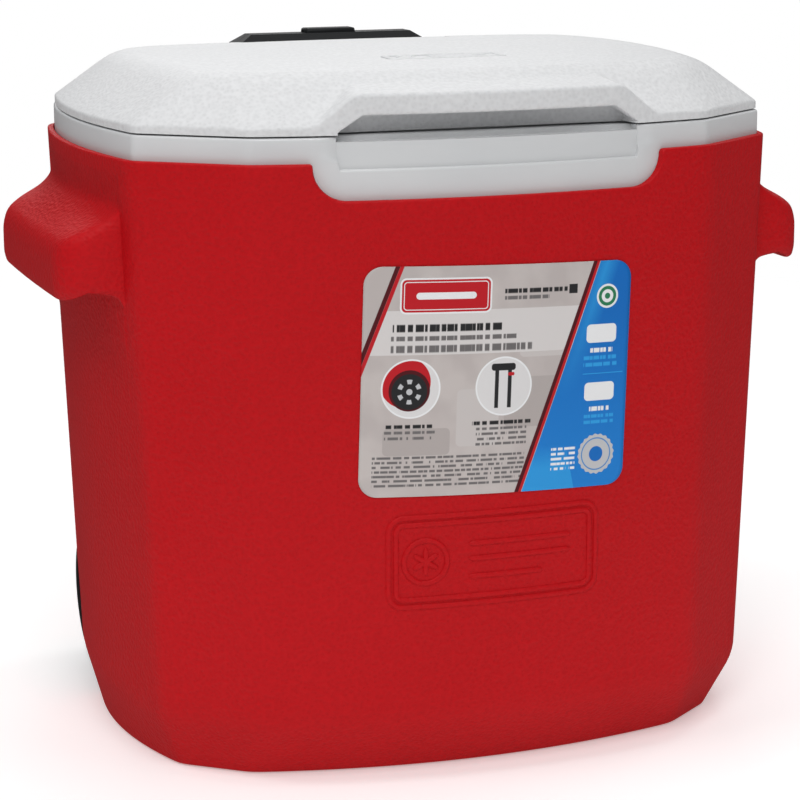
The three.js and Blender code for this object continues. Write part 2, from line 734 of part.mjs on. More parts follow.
function lidInsulation() {
  const thick = LID_WALL + GAP;
  const foot = lidBottom + PAN_WALL + GAP;
  const dome = cut(join([lidForm(thick, foot), ...lidPads(thick)]), [
    lidNotch(thick),
    lidPocket(thick),
    box(-THROUGH, THROUGH, -THROUGH, THROUGH, -THROUGH, foot),
  ]);
  const inPlug = plugForm(PAN_WALL + GAP, plugFoot + PAN_WALL + GAP, foot + 1);
  return cut(dome.add(inPlug), hingeScrewHoles(lidLeafZ, SCREW_R + 2 * GAP));
}

// ---------------------------------------------------------------- hinges

const hingeY = REAR_DEPTH + HINGE_AXIS_OUT;
const hingeZ = RIM_Z + HINGE_AXIS_UP;
const knuckleBore = HINGE_PIN_R + HINGE_PIN_CLEARANCE;

// A knuckle and the web that ties it to its leaf.
function knuckle(x0, x1, leafBack, webLow, webHigh) {
  const round = bar(KNUCKLE_R, [x0, hingeY, hingeZ], [x1, hingeY, hingeZ], 16);
  return round.add(box(x0, x1, leafBack - HINGE_LEAF, hingeY, webLow, webHigh));
}

function bodyLeaf(way) {
  const x = way * HINGE_X;
  const front = REAR_DEPTH + GAP;
  const back = front + HINGE_LEAF;
  const low = bodyLeafZ - LEAF_DROP;
  const high = hingeZ - HINGE_PIN_R - LEAF_PIN_CLEAR;
  const third = HINGE_HALF / 2;
  const plate = box(x - HINGE_HALF, x + HINGE_HALF, front, back, low, high);
  const ends = [-1, 1].map((end) => {
    const near = x + end * (third + KNUCKLE_GAP / 2);
    const far = x + end * HINGE_HALF;
    return knuckle(Math.min(near, far), Math.max(near, far), back, high - BODY_WEB, high);
  });
  return cut(join([plate, ...ends]), [
    bar(knuckleBore, [-THROUGH, hingeY, hingeZ], [THROUGH, hingeY, hingeZ], 16),
    ...hingeScrewHoles(bodyLeafZ, SCREW_R + GAP),
    box(x - third - KNUCKLE_GAP / 2, x + third + KNUCKLE_GAP / 2, back + GAP, THROUGH, 0, THROUGH),
  ]);
}

function lidLeaf(way) {
  const x = way * HINGE_X;
  const front = REAR_DEPTH - LID_SET_IN + GAP;
  const back = front + HINGE_LEAF;
  const low = hingeZ + HINGE_PIN_R - LEAF_PIN_CLEAR;
  const third = HINGE_HALF / 2 - KNUCKLE_GAP / 2;
  const plate = box(x - HINGE_HALF, x + HINGE_HALF, front, back, low, low + LID_LEAF_HEIGHT);
  const middle = knuckle(x - third, x + third, back, low, low + LID_WEB);
  return cut(join([plate, middle]), [
    bar(knuckleBore, [-THROUGH, hingeY, hingeZ], [THROUGH, hingeY, hingeZ], 16),
    ...hingeScrewHoles(lidLeafZ, SCREW_R + GAP),
  ]);
}

// A pan-head screw whose head seats on a face: point is where the shank meets that face and way is
// the direction in which the head looks.
function screw(point, way, length) {
  const at = (distance) => point.map((value, i) => value + way[i] * distance);
  const shank = bar(SCREW_R, at(-length), at(GAP + 0.2), 10);
  return shank.add(bar(SCREW_HEAD_R, at(GAP), at(GAP + SCREW_HEAD), 12));
}

function hinges() {
  const meshes = [];
  const pieces = [];
  for (const { name, way } of sides) {
    pieces.push([`hinge_body_leaf_${name}`, bodyLeaf(way), BLACK]);
    pieces.push([`hinge_lid_leaf_${name}`, lidLeaf(way), BLACK]);
    const pinHalf = HINGE_HALF + PIN_OVERHANG;
    const ends = [-1, 1].map((end) => [way * HINGE_X + end * pinHalf, hingeY, hingeZ]);
    pieces.push([`hinge_pin_${name}`, bar(HINGE_PIN_R, ends[0], ends[1], 16), STEEL]);
    [-1, 1].forEach((end, i) => {
      const x = way * HINGE_X + end * HINGE_SCREW_X;
      const bodySeat = [x, REAR_DEPTH + GAP + HINGE_LEAF, bodyLeafZ];
      const lidSeat = [x, REAR_DEPTH - LID_SET_IN + GAP + HINGE_LEAF, lidLeafZ];
      const out = [0, 1, 0];
      pieces.push([`hinge_body_screw_${name}_${i + 1}`, screw(bodySeat, out, SCREW_LENGTH), STEEL]);
      pieces.push([`hinge_lid_screw_${name}_${i + 1}`, screw(lidSeat, out, SCREW_LENGTH), STEEL]);
    });
  }
  for (const [name, solid, material] of pieces) meshes.push(meshOf(name, solid, material));
  return meshes;
}

// ---------------------------------------------------------------- wheels

// One wheel turned about its axis: hub, dished web and rim, with round holes through the web.
function wheelSolid(way) {
  const half = WHEEL_WIDTH / 2;
  const bore = AXLE_R + AXLE_CLEARANCE;
  const web1 = half - WHEEL_DISH;
  const web0 = web1 - WHEEL_WEB;
  const profile = [
    [bore, -half],
    [HUB_R, -half],
    [HUB_R, web0],
    [WHEEL_RIM_INNER_R, web0],
    [WHEEL_RIM_INNER_R, -half],
    [WHEEL_R - TREAD_ROUND_R, -half],
    [WHEEL_R, -half + TREAD_ROUND_X],
    [WHEEL_R, half - TREAD_ROUND_X],
    [WHEEL_R - TREAD_ROUND_R, half],
    [WHEEL_RIM_INNER_R, half],
    [WHEEL_RIM_INNER_R, web1],
    [HUB_R, web1],
    [HUB_R, half],
    [bore, half],
    [bore, -half],
  ];
  const outline = profile.map(([r, along]) => new THREE.Vector2(r, along));
  const geometry = new THREE.LatheGeometry(outline, WHEEL_SIDES);
  const turned = solidOf(geometry);
  const holes = [];
  for (let i = 0; i < WHEEL_HOLES; i += 1) {
    const angle = (2 * Math.PI * i) / WHEEL_HOLES;
    const x = WHEEL_HOLE_PITCH_R * Math.cos(angle);
    const z = WHEEL_HOLE_PITCH_R * Math.sin(angle);
    holes.push(bar(WHEEL_HOLE_R, [x, web0 - 1, z], [x, web1 + 1, z], 12));
  }
  // the lathe turns about Y; lay that axis along X, with the dished side facing outwards
  const turn = way > 0 ? -90 : 90;
  const laid = cut(turned, holes).rotate([0, 0, turn]);
  return laid.translate([way * wheelCentreX, WHEEL_Y, wheelZ]);
}

const washerX = WELL_INNER_X + GAP;
const wheelInnerX = washerX + WASHER_THICK + GAP;
const wheelCentreX = wheelInnerX + WHEEL_WIDTH / 2;
const wheelOuterX = wheelInnerX + WHEEL_WIDTH;
const capX = wheelOuterX + GAP;

function wheels() {
  const along = (way, x) => [way * x, WHEEL_Y, wheelZ];
  const meshes = [];
  for (const { name, way } of sides) {
    const bore = bar(AXLE_R + GAP, along(way, washerX - 1), along(way, capX + CAP_THICK - CAP_SKIN));
    const washer = bar(WASHER_R, along(way, washerX), along(way, washerX + WASHER_THICK), 20);
    const cap = bar(CAP_R, along(way, capX), along(way, capX + CAP_THICK), 20);
    const axleStart = along(way, WELL_INNER_X - AXLE_BURIED);
    const axleEnd = along(way, capX + CAP_THICK - CAP_SKIN - AXLE_END_GAP);
    const axle = bar(AXLE_R, axleStart, axleEnd);
    meshes.push(meshOf(`wheel_${name}`, wheelSolid(way), BLACK));
    meshes.push(meshOf(`axle_${name}`, axle, STEEL));
    meshes.push(meshOf(`axle_washer_${name}`, cut(washer, [bore]), STEEL));
    meshes.push(meshOf(`axle_cap_${name}`, cut(cap, [bore]), BLACK));
  }
  return meshes;
}

// ---------------------------------------------------------------- telescoping handle

const outerBore = OUTER_TUBE_R - TUBE_WALL;
const midTubeR = outerBore - SLIDE_CLEARANCE;
const midBore = midTubeR - TUBE_WALL + 0.1;
const innerTubeR = midBore - SLIDE_CLEARANCE;
const innerBore = innerTubeR - TUBE_WALL + 0.2;
const midFootZ = TUBE_FOOT_Z + GLIDE_STEP;
const innerFootZ = midFootZ + FOOT_HEIGHT + GLIDE_STEP;
const yokeZ = INNER_TUBE_TOP + BUTTON_TRAVEL + YOKE_CLEARANCE;

const upright = (radius, x, z0, z1, count = TUBE_SIDES) =>
  bar(radius, [x, TUBE_Y, z0], [x, TUBE_Y, z1], count);
const tube = (radius, bore, x, z0, z1) =>
  upright(radius, x, z0, z1).subtract(upright(bore, x, z0 - 1, z1 + 1));
const bothTubes = (radius, z0, z1) =>
  sides.map(({ way }) => upright(radius, way * TUBE_X, z0, z1));

// A plate on the floor of the channel with two blocks that hold the fixed tubes.
function tubeBracket(plateZ, clampZ, boreFrom) {
  const half = CHANNEL_HALF - CHANNEL_SIDE_GAP;
  const front = CHANNEL_FLOOR + GAP;
  const plate = box(
    -half,
    half,
    front,
    front + BRACKET_PLATE,
    plateZ,
    plateZ + BRACKET_HEIGHT,
  );
  const reach = OUTER_TUBE_R + CLAMP_MARGIN;
  const blocks = sides.map(({ way }) =>
    box(
      way * TUBE_X - reach,
      way * TUBE_X + reach,
      front + BRACKET_PLATE - 1,
      TUBE_Y + reach,
      clampZ,
      clampZ + CLAMP_HEIGHT,
    ),
  );
  return cut(join([plate, ...blocks]), [
    ...bothTubes(OUTER_TUBE_R + GAP, boreFrom, THROUGH),
    ...bracketScrewHoles(SCREW_R + GAP),
  ]);
}

// The grip bar in section: x by z outline with chamfered shoulders.
function gripBar() {
  const profile = [
    [-GRIP_HALF, GRIP_BOTTOM + GRIP_FOOT_CHAMFER],
    [-GRIP_HALF + GRIP_FOOT_CHAMFER, GRIP_BOTTOM],
    [GRIP_HALF - GRIP_FOOT_CHAMFER, GRIP_BOTTOM],
    [GRIP_HALF, GRIP_BOTTOM + GRIP_FOOT_CHAMFER],
    [GRIP_HALF, GRIP_TOP - GRIP_CHAMFER],
    [GRIP_HALF - GRIP_SHOULDER_RUN, GRIP_TOP],
    [-GRIP_HALF + GRIP_SHOULDER_RUN, GRIP_TOP],
    [-GRIP_HALF, GRIP_TOP - GRIP_CHAMFER],
  ];
  const y0 = TUBE_Y - GRIP_HALF_THICK;
  const y1 = TUBE_Y + GRIP_HALF_THICK;
  const across = [
    [y0, GRIP_BOTTOM + GRIP_FOOT_ROUND],
    [y0 + GRIP_FOOT_ROUND, GRIP_BOTTOM],
    [y1 - GRIP_FOOT_ROUND, GRIP_BOTTOM],
    [y1, GRIP_BOTTOM + GRIP_FOOT_ROUND],
    [y1, GRIP_TOP - GRIP_CHAMFER],
    [y1 - GRIP_CHAMFER, GRIP_TOP],
    [y0 + GRIP_CHAMFER, GRIP_TOP],
    [y0, GRIP_TOP - GRIP_CHAMFER],
  ];
  return prismY(profile, y0, y1).intersect(prismX(across, -GRIP_HALF, GRIP_HALF));
}

const springFoot = GRIP_BOTTOM + SPRING_SEAT;
const gripScrewHeadY = TUBE_Y + GRIP_HALF_THICK - SCREW_HEAD - GRIP_SCREW_SINK;
const gripScrewTipY = TUBE_Y - GRIP_HALF_THICK + GRIP_SKIN;

// The room inside the grip for the tube ends, the yoke, the spring, the button and the screws.
function gripCavity() {
  const slotHalf = TUBE_X + innerTubeR + 2;
  const slotTop = yokeZ + YOKE_HEIGHT + GAP;
  const y0 = TUBE_Y - BUTTON_HALF_THICK - GAP;
  const y1 = TUBE_Y + BUTTON_HALF_THICK + GAP;
  const buttonHalf = BUTTON_HALF + GAP;
  const springRoom = SPRING_R + SPRING_WIRE_R + 1;
  const screws = [-1, 1].flatMap((end) => {
    const at = (y) => [end * GRIP_SCREW_X, y, GRIP_SCREW_Z];
    return [
      bar(SCREW_R + GAP, at(gripScrewTipY), at(THROUGH), 10),
      bar(SCREW_HEAD_R + GAP, at(gripScrewHeadY), at(THROUGH), 12),
    ];
  });
  return [
    box(-slotHalf, slotHalf, y0, y1, INNER_TUBE_TOP - 0.5, slotTop),
    box(-buttonHalf, buttonHalf, y0, y1, slotTop - 1, THROUGH),
    upright(springRoom, 0, springFoot, INNER_TUBE_TOP, 16),
    ...bothTubes(innerTubeR + GAP, 0, INNER_TUBE_TOP),
    ...screws,
  ];
}

function springSolid() {
  const top = yokeZ - GAP;
  const height = top - springFoot - GAP - 2 * SPRING_WIRE_R;
  const start = springFoot + GAP + SPRING_WIRE_R;
  class Helix extends THREE.Curve {
    getPoint(t) {
      const angle = 2 * Math.PI * SPRING_TURNS * t;
      const x = SPRING_R * Math.cos(angle);
      const y = TUBE_Y + SPRING_R * Math.sin(angle);
      return new THREE.Vector3(x, y, start + height * t);
    }
  }
  const section = new THREE.Shape();
  section.absarc(0, 0, SPRING_WIRE_R, 0, 2 * Math.PI);
  const geometry = new THREE.ExtrudeGeometry(section, {
    steps: 10 * SPRING_TURNS,
    curveSegments: 3,
    extrudePath: new Helix(),
  });
  return solidOf(geometry);
}

function telescopingHandle() {
  const pieces = [];
  for (const { name, way } of sides) {
    const x = way * TUBE_X;
    const outer = tube(OUTER_TUBE_R, outerBore, x, TUBE_FOOT_Z + GAP, OUTER_TUBE_TOP);
    const midStart = midFootZ + FOOT_HEIGHT + GAP;
    const mid = tube(midTubeR, midBore, x, midStart, MID_TUBE_TOP);
    const innerStart = innerFootZ + FOOT_HEIGHT + GAP;
    const inner = tube(innerTubeR, innerBore, x, innerStart, INNER_TUBE_TOP - GAP);
    const midFoot = tube(midTubeR, ROD_R + GLIDE_WALL_GAP, x, midFootZ, midFootZ + FOOT_HEIGHT);
    const innerFoot = tube(innerTubeR, ROD_R + GLIDE_WALL_GAP, x, innerFootZ, innerFootZ + FOOT_HEIGHT);
    const rodFoot = innerStart + 2 * BUTTON_TRAVEL;
    pieces.push([`outer_tube_${name}`, outer, TUBE_BLACK]);
    pieces.push([`middle_tube_${name}`, mid, TUBE_BLACK]);
    pieces.push([`inner_tube_${name}`, inner, TUBE_BLACK]);
    pieces.push([`middle_tube_glide_${name}`, midFoot, BLACK]);
    pieces.push([`inner_tube_glide_${name}`, innerFoot, BLACK]);
    pieces.push([`lock_rod_${name}`, upright(ROD_R, x, rodFoot, yokeZ - GAP, 10), STEEL]);
  }
  const bridgeHalf = TUBE_X + OUTER_TUBE_R + BRIDGE_MARGIN;
  const bridgeDeep = OUTER_TUBE_R + BRIDGE_MARGIN;
  const bridge = box(
    -bridgeHalf,
    bridgeHalf,
    TUBE_Y - bridgeDeep,
    TUBE_Y + bridgeDeep,
    OUTER_TUBE_TOP + BRIDGE_LIFT,
    MID_TUBE_TOP - BRIDGE_SINK,
  );
  pieces.push([
    "middle_tube_bridge",
    cut(bridge, bothTubes(midTubeR + GAP, 0, THROUGH)),
    BLACK,
  ]);
  const topClampZ = OUTER_TUBE_TOP - CLAMP_HEIGHT;
  pieces.push(["handle_top_bracket", tubeBracket(topBracketZ, topClampZ, 0), BLACK]);
  pieces.push([
    "handle_foot_bracket",
    tubeBracket(footBracketZ, footBracketZ, TUBE_FOOT_Z),
    BLACK,
  ]);
  bracketScrewXs.forEach((x, i) => {
    bracketScrewZs.forEach((z, j) => {
      const seat = [x, CHANNEL_FLOOR + GAP + BRACKET_PLATE, z];
      const name = `${["top", "foot"][j]}_bracket_screw_${sides[i].name}`;
      pieces.push([name, screw(seat, [0, 1, 0], BRACKET_SCREW_LENGTH), STEEL]);
    });
  });
  const grip = cut(gripBar(), gripCavity());
  const front = box(-THROUGH, THROUGH, 0, TUBE_Y - GAP / 2, 0, THROUGH);
  const rear = box(-THROUGH, THROUGH, TUBE_Y + GAP / 2, THROUGH, 0, THROUGH);
  pieces.push(["grip_front_half", grip.intersect(front), BLACK]);
  pieces.push(["grip_rear_half", grip.intersect(rear), BLACK]);
  for (const { name, way } of sides) {
    const length = gripScrewHeadY - gripScrewTipY - GAP;
    const seat = [way * GRIP_SCREW_X, gripScrewHeadY, GRIP_SCREW_Z];
    pieces.push([`grip_screw_${name}`, screw(seat, [0, 1, 0], length), STEEL]);
  }
  const yokeHalf = TUBE_X + ROD_R + 1;
  const yokeDeep = BUTTON_HALF_THICK - 2;
  const yokeTop = yokeZ + YOKE_HEIGHT;
  const yoke = box(-yokeHalf, yokeHalf, TUBE_Y - yokeDeep, TUBE_Y + yokeDeep, yokeZ, yokeTop);
  pieces.push(["lock_yoke", yoke, BLACK]);
  const button = box(
    -BUTTON_HALF,
    BUTTON_HALF,
    TUBE_Y - BUTTON_HALF_THICK,
    TUBE_Y + BUTTON_HALF_THICK,
    yokeTop + GAP,
    BUTTON_TOP,
  );
  pieces.push(["release_button", button, BLACK]);
  pieces.push(["button_spring", springSolid(), STEEL]);
  return pieces.map(([name, solid, material]) => meshOf(name, solid, material));
}

// ---------------------------------------------------------------- label

function frontLabel() {
  const low = LABEL_Z - LABEL_HEIGHT;
  const high = LABEL_Z + LABEL_HEIGHT;
  const near = SHELL_STEP + GAP;
  const skin = bodyForm(near + LABEL_THICK, low, high).subtract(bodyForm(near, low, high));
  const halfW = LABEL_WIDTH / 2;
  const halfH = LABEL_HEIGHT / 2;
  const turn = THREE.MathUtils.degToRad(LABEL_TURN);
  const outline = [];
  for (const [sx, sz, from] of [
    [1, 1, 0],
    [-1, 1, 1],
    [-1, -1, 2],
    [1, -1, 3],
  ]) {
    for (let i = 0; i <= 4; i += 1) {
      const angle = (from + i / 4) * (Math.PI / 2);
      const x = sx * (halfW - LABEL_RADIUS) + LABEL_RADIUS * Math.cos(angle);
      const z = sz * (halfH - LABEL_RADIUS) + LABEL_RADIUS * Math.sin(angle);
      outline.push([
        LABEL_X + x * Math.cos(turn) - z * Math.sin(turn),
        LABEL_Z + x * Math.sin(turn) + z * Math.cos(turn),
      ]);
    }
  }
  return skin.intersect(prismY(outline, -THROUGH, -FRONT_DEPTH / 2));
}

// ---------------------------------------------------------------- assembly

const chest = new THREE.Group();
chest.add(meshOf("outer_shell", outerShell(), RED));
chest.add(meshOf("inner_liner", innerLiner(), WHITE));
chest.add(meshOf("body_insulation", insulation(), FOAM));
chest.add(meshOf("front_label", frontLabel(), LABEL));
chest.add(meshOf("lid_outer", lidOuter(), WHITE));
chest.add(meshOf("lid_pan", lidPan(), WHITE));
chest.add(meshOf("lid_insulation", lidInsulation(), FOAM));
chest.add(...hinges());
chest.add(...wheels());
chest.add(...telescopingHandle());

// the footprint runs from the front of the shell, just under the apron, to the back of the wheels
const frontEdge = -FRONT_DEPTH - SHELL_STEP + FRONT_DRAFT * (APRON_DEPTH - BAND_HEIGHT);
const backEdge = WHEEL_Y + WHEEL_R;
chest.position.y = -(frontEdge + backEdge) / 2;

export default chest;
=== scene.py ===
"""The looks of a wheeled cooler chest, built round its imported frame.

Shapes are worked out in millimetres in the chest's own plan frame, whose origin lies under the
middle of the rim, and moved and scaled into the row frame as each mesh is made.
"""

import json  # noqa: E402
import logging  # noqa: E402
import math  # noqa: E402
from collections.abc import Callable  # noqa: E402
from dataclasses import dataclass, field  # noqa: E402
from enum import Enum  # noqa: E402

import bmesh  # noqa: E402
import bpy  # noqa: E402
import numpy as np  # noqa: E402
from mathutils import Matrix, Vector  # noqa: E402


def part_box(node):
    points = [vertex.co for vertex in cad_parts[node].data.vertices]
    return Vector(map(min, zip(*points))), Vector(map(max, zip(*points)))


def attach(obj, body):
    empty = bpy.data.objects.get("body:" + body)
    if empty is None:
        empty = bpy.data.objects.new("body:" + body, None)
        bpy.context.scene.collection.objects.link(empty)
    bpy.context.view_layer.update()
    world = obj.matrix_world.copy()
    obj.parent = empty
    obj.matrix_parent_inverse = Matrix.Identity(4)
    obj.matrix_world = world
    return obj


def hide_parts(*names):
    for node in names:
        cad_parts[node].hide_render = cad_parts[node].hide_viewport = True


log = logging.getLogger("cooler_chest")
Array = np.ndarray
Colour = tuple[float, float, float]
Place = tuple[float, float, float]

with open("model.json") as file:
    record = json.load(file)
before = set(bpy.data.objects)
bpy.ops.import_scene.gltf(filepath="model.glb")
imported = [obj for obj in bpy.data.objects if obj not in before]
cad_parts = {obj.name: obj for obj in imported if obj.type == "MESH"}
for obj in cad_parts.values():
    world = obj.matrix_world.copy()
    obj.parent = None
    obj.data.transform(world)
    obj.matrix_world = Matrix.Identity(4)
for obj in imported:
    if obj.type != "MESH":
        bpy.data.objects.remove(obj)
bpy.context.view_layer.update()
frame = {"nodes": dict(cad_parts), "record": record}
MM = 0.001

# driving sizes, in millimetres, the same as the chest's design
RIM_Z = 386.0
BAND_HEIGHT = 14.5
SHELL_TOP = RIM_Z - BAND_HEIGHT
FOLD_Z = 37.0
FRONT_DEPTH = 168.5
REAR_DEPTH = 166.0
FRONT_BOW = 20.2
END_BOW = 12.2
HALF_WIDTH = 210.0
CORNER_X = 56.5
CORNER_Y = 45.8
SHELL_STEP = 4.5
SHELL_WALL = 3.0
CHANNEL_HALF = 70.0
CHANNEL_FLOOR = 126.0
WHEEL_Y = 128.0
WHEEL_Z = 51.0
WELL_R = 56.0
WELL_INNER_X = 146.0
RIM_WIDTH = 25.0
LABEL_WIDTH = 166.5
LABEL_HEIGHT = 136.0

# how far the walls lean in for each millimetre of fall, and how far they turn in at the foot
FRONT_DRAFT, FRONT_TUCK = 0.02, 28.5
BEND_DRAFT, BEND_TUCK = 0.0375, 14.5
END_DRAFT, END_TUCK = 0.031, 10.0
BACK_DRAFT, BACK_TUCK = 0.01, 4.0
FACET_DRAFT = 0.016
FOLD_ROUND = 9.0

# columns up the front, over the top and down the back of a wheel's arch, and the plain columns
# before and after them that fan out over it
ARCH_STEPS = (9, 28, 9)
ARCH_LEAD = (10, 11)
FAN = sum(ARCH_STEPS) + sum(ARCH_LEAD) - 1

# the plan frame lies this far behind the row frame's origin
PLAN_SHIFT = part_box("inner_liner")[0].y / MM + FRONT_DEPTH


class Body(Enum):
    """The rigid bodies that pieces ride on."""

    ROOT = "root"
    LID = "lid"
    MIDDLE = "handle_middle"
    UPPER = "handle_upper"
    BUTTON = "button"
    WHEEL_LEFT = "wheel_left"
    WHEEL_RIGHT = "wheel_right"


class Side(Enum):
    """Left and right, as the sign of X."""

    LEFT = -1
    RIGHT = 1

    @property
    def word(self) -> str:
        """The side's name as the nodes spell it."""
        return self.name.lower()


# ---------------------------------------------------------------- number helpers


def ramp(value: Array, knee: float) -> Array:
    """The positive part of a value, with a parabola over a knee on both sides of zero.

    Args:
        value: any array.
        knee: half width of the rounded stretch.

    Returns:
        0 below -knee, value above knee, (value + knee)^2 / 4 knee between.
    """
    bent = (value + knee) ** 2 / (4 * knee)
    return np.where(value <= -knee, 0.0, np.where(value >= knee, value, bent))


def ease(t: Array) -> Array:
    """The cubic 3t^2 - 2t^3 of t held between 0 and 1."""
    t = np.clip(t, 0.0, 1.0)
    return t * t * (3 - 2 * t)


def soft_min(a: Array, b: Array, blend: float) -> Array:
    """The lesser of two arrays, rounded off where they are within blend of each other."""
    share = np.clip(0.5 + 0.5 * (b - a) / blend, 0.0, 1.0)
    return b + (a - b) * share - blend * share * (1 - share)


def soft_max(a: Array, b: Array, blend: float) -> Array:
    """The greater of two arrays, rounded off where they are within blend of each other."""
    return -soft_min(-a, -b, blend)


def spread(*runs: tuple[float, float, int]) -> Array:
    """Evenly stepped runs joined end to end.

    Args:
        runs: (start, end, steps) of each run, where one run's end is the next one's start.

    Returns:
        Every run's points without its last, and then the last run's end.
    """
    parts = [np.linspace(start, end, steps, endpoint=False) for start, end, steps in runs]
    return np.concatenate(parts + [[runs[-1][1]]])


def through(start: float, *stops: tuple[float, float, int, int]) -> Array:
    """Places along an outline that crowd together over its bends.

    Args:
        start: the first place.
        stops: a bend's place, the half width of the crowded stretch over it, the steps up to
            that stretch and the steps over it. A stop of no width is a plain place.

    Returns:
        Every place from the start to the end of the last stop.
    """
    runs = []
    for place, half, before, over in stops:
        runs.append((start, place - half, before))
        if over:
            runs.append((place - half, place + half, over))
        start = place + half
    return spread(*runs)


def stack(x: Array | float, y: Array | float, z: Array | float) -> Array:
    """Points of shape (..., 3) from their coordinates."""
    return np.stack(np.broadcast_arrays(x, y, z), axis=-1).astype(float)


def rounded(rails: list[Array], radii: list, steps: int = 4) -> Array:
    """Rows through a line of corner rails, with each inner corner rounded.

    Each corner V is replaced by the curve (1-t)^2 P + 2t(1-t) V + t^2 Q, where P and Q lie a
    radius before and after V, and never past 0.45 of the span on that side.

    Args:
        rails: arrays (U, 3), the corner points of every column, in order.
        radii: a number or an array (U,) for each rail; the first and last are not used.
        steps: steps in each rounded corner.

    Returns:
        The rows, an array (R, U, 3).
    """
    nodes = np.stack(rails)
    size = np.stack([np.broadcast_to(r, nodes.shape[1:2]) for r in radii])[1:-1]
    back = nodes[:-2] - nodes[1:-1]
    ahead = nodes[2:] - nodes[1:-1]
    back_length = np.maximum(np.linalg.norm(back, axis=2), 1e-6)
    ahead_length = np.maximum(np.linalg.norm(ahead, axis=2), 1e-6)
    reach = np.minimum(size, np.minimum(0.45 * back_length, 0.45 * ahead_length))
    start = nodes[1:-1] + back * (reach / back_length)[..., None]
    end = nodes[1:-1] + ahead * (reach / ahead_length)[..., None]
    t = np.linspace(0, 1, steps + 1)[None, :, None, None]
    start, middle, end = start[:, None], nodes[1:-1][:, None], end[:, None]
    bends = (1 - t) ** 2 * start + 2 * t * (1 - t) * middle + t * t * end
    bends = bends.reshape(-1, *nodes.shape[1:])
    return np.concatenate([nodes[:1], bends, nodes[-1:]])


# ---------------------------------------------------------------- meshes


def mirrored(half: Array) -> Array:
    """Rows over the right half, from front to back, as full rings that run anticlockwise."""
    other = half[:, -2:0:-1] * np.array([-1.0, 1.0, 1.0])
    return np.concatenate([half, other], axis=1)


def grid_faces(rows: int, columns: int, ring: bool, base: int = 0) -> Array:
    """Quads over a grid whose columns close on themselves if ring is set."""
    i = np.arange(rows - 1)[:, None]
    j = np.arange(columns if ring else columns - 1)[None, :]
    here = base + i * columns + j
    right = base + i * columns + (j + 1) % columns
    return np.stack([here, right, right + columns, here + columns], axis=-1).reshape(-1, 4)


class Piece:
    """One mesh on its way to becoming a shown object."""

    def __init__(self, name: str) -> None:
        """Starts an empty piece."""
        self.name = name
        self.points: list[Array] = []
        self.faces: list[list[int]] = []
        self.count = 0

    def grid(self, rows: Array, ring: bool = True, caps: bool = True) -> "Piece":
        """Adds quads over rows of points.

        Args:
            rows: (R, U, 3), in plan millimetres. Rings run anticlockwise seen from where the
                rows lead.
            ring: whether the columns close on themselves.
            caps: whether the first and last ring are closed by a flat face.

        Returns:
            The piece itself.
        """
        r, u = rows.shape[:2]
        self.points.append(rows.reshape(-1, 3))
        self.faces += grid_faces(r, u, ring, self.count).tolist()
        if caps:
            self.faces.append(list(range(self.count + u - 1, self.count - 1, -1)))
            last = self.count + (r - 1) * u
            self.faces.append(list(range(last, last + u)))
        self.count += r * u
        return self

    def loop(self, rows: Array) -> "Piece":
        """Adds a surface that closes on itself both ways, such as a bead along a closed path."""
        return self.grid(np.concatenate([rows, rows[:1]]), ring=True, caps=False)

    def build(
        self, sharp: float = 38.0, weld: float = 0.004, recalculate: bool = False
    ) -> bpy.types.Object:
        """Makes the object.

        Args:
            sharp: faces that meet at more than this many degrees get a hard edge.
            weld: points closer than this many millimetres are joined.
            recalculate: whether the faces are turned outwards afterwards.

        Returns:
            The object, at the origin, with its place in its mesh, in metres.
        """
        points = np.concatenate(self.points)
        points = (points + np.array([0.0, PLAN_SHIFT, 0.0])) * MM
        mesh = bpy.data.meshes.new(self.name)
        mesh.from_pydata(points, [], self.faces)
        work = bmesh.new()
        work.from_mesh(mesh)
        bmesh.ops.remove_doubles(work, verts=work.verts, dist=weld * MM)
        bmesh.ops.dissolve_degenerate(work, edges=work.edges, dist=weld * MM)
        if recalculate:
            bmesh.ops.recalc_face_normals(work, faces=work.faces)
        work.to_mesh(mesh)
        work.free()
        mesh.shade_smooth()
        mesh.set_sharp_from_angle(angle=math.radians(sharp))
        thing = bpy.data.objects.new(self.name, mesh)
        bpy.context.scene.collection.objects.link(thing)
        return thing


def settle(
    thing: bpy.types.Object,
    body: Body,
    slot: str,
    material: bpy.types.Material,
    *nodes: str,
) -> bpy.types.Object:
    """Dresses a piece, sets it on its body and lets it stand for its CAD nodes.

    Args:
        thing: the piece.
        body: what it rides on.
        slot: its material slot; not used.
        material: its finish.
        nodes: the CAD nodes that it replaces.

    Returns:
        The piece.
    """
    thing.data.materials.clear()
    thing.data.materials.append(material)
    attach(thing, body.value)
    if nodes:
        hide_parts(*nodes)
    log.info("%s: %d faces on %s", thing.name, len(thing.data.polygons), body.value)
    return thing


def turned(profile: Array, centre: Array, axis: int, count: int) -> Array:
    """A profile turned about an axis.

    Args:
        profile: (N, 2), radius and place along the axis, rising along it on the outside.
        centre: a point on the axis.
        axis: 0 for X, 1 for Y, 2 for Z.
        count: points round.

    Returns:
        Rows (N, count, 3), where a point at angle a lies at (r cos a, r sin a) in the two
        coordinates that follow the axis.
    """
    angle = np.arange(count) * (2 * math.pi / count)
    radius, along = profile[:, 0][:, None], profile[:, 1][:, None]
    rows = np.zeros((len(profile), count, 3))
    rows[..., axis] = along
    rows[..., (axis + 1) % 3] = radius * np.cos(angle)
    rows[..., (axis + 2) % 3] = radius * np.sin(angle)
    return rows + np.asarray(centre, float)


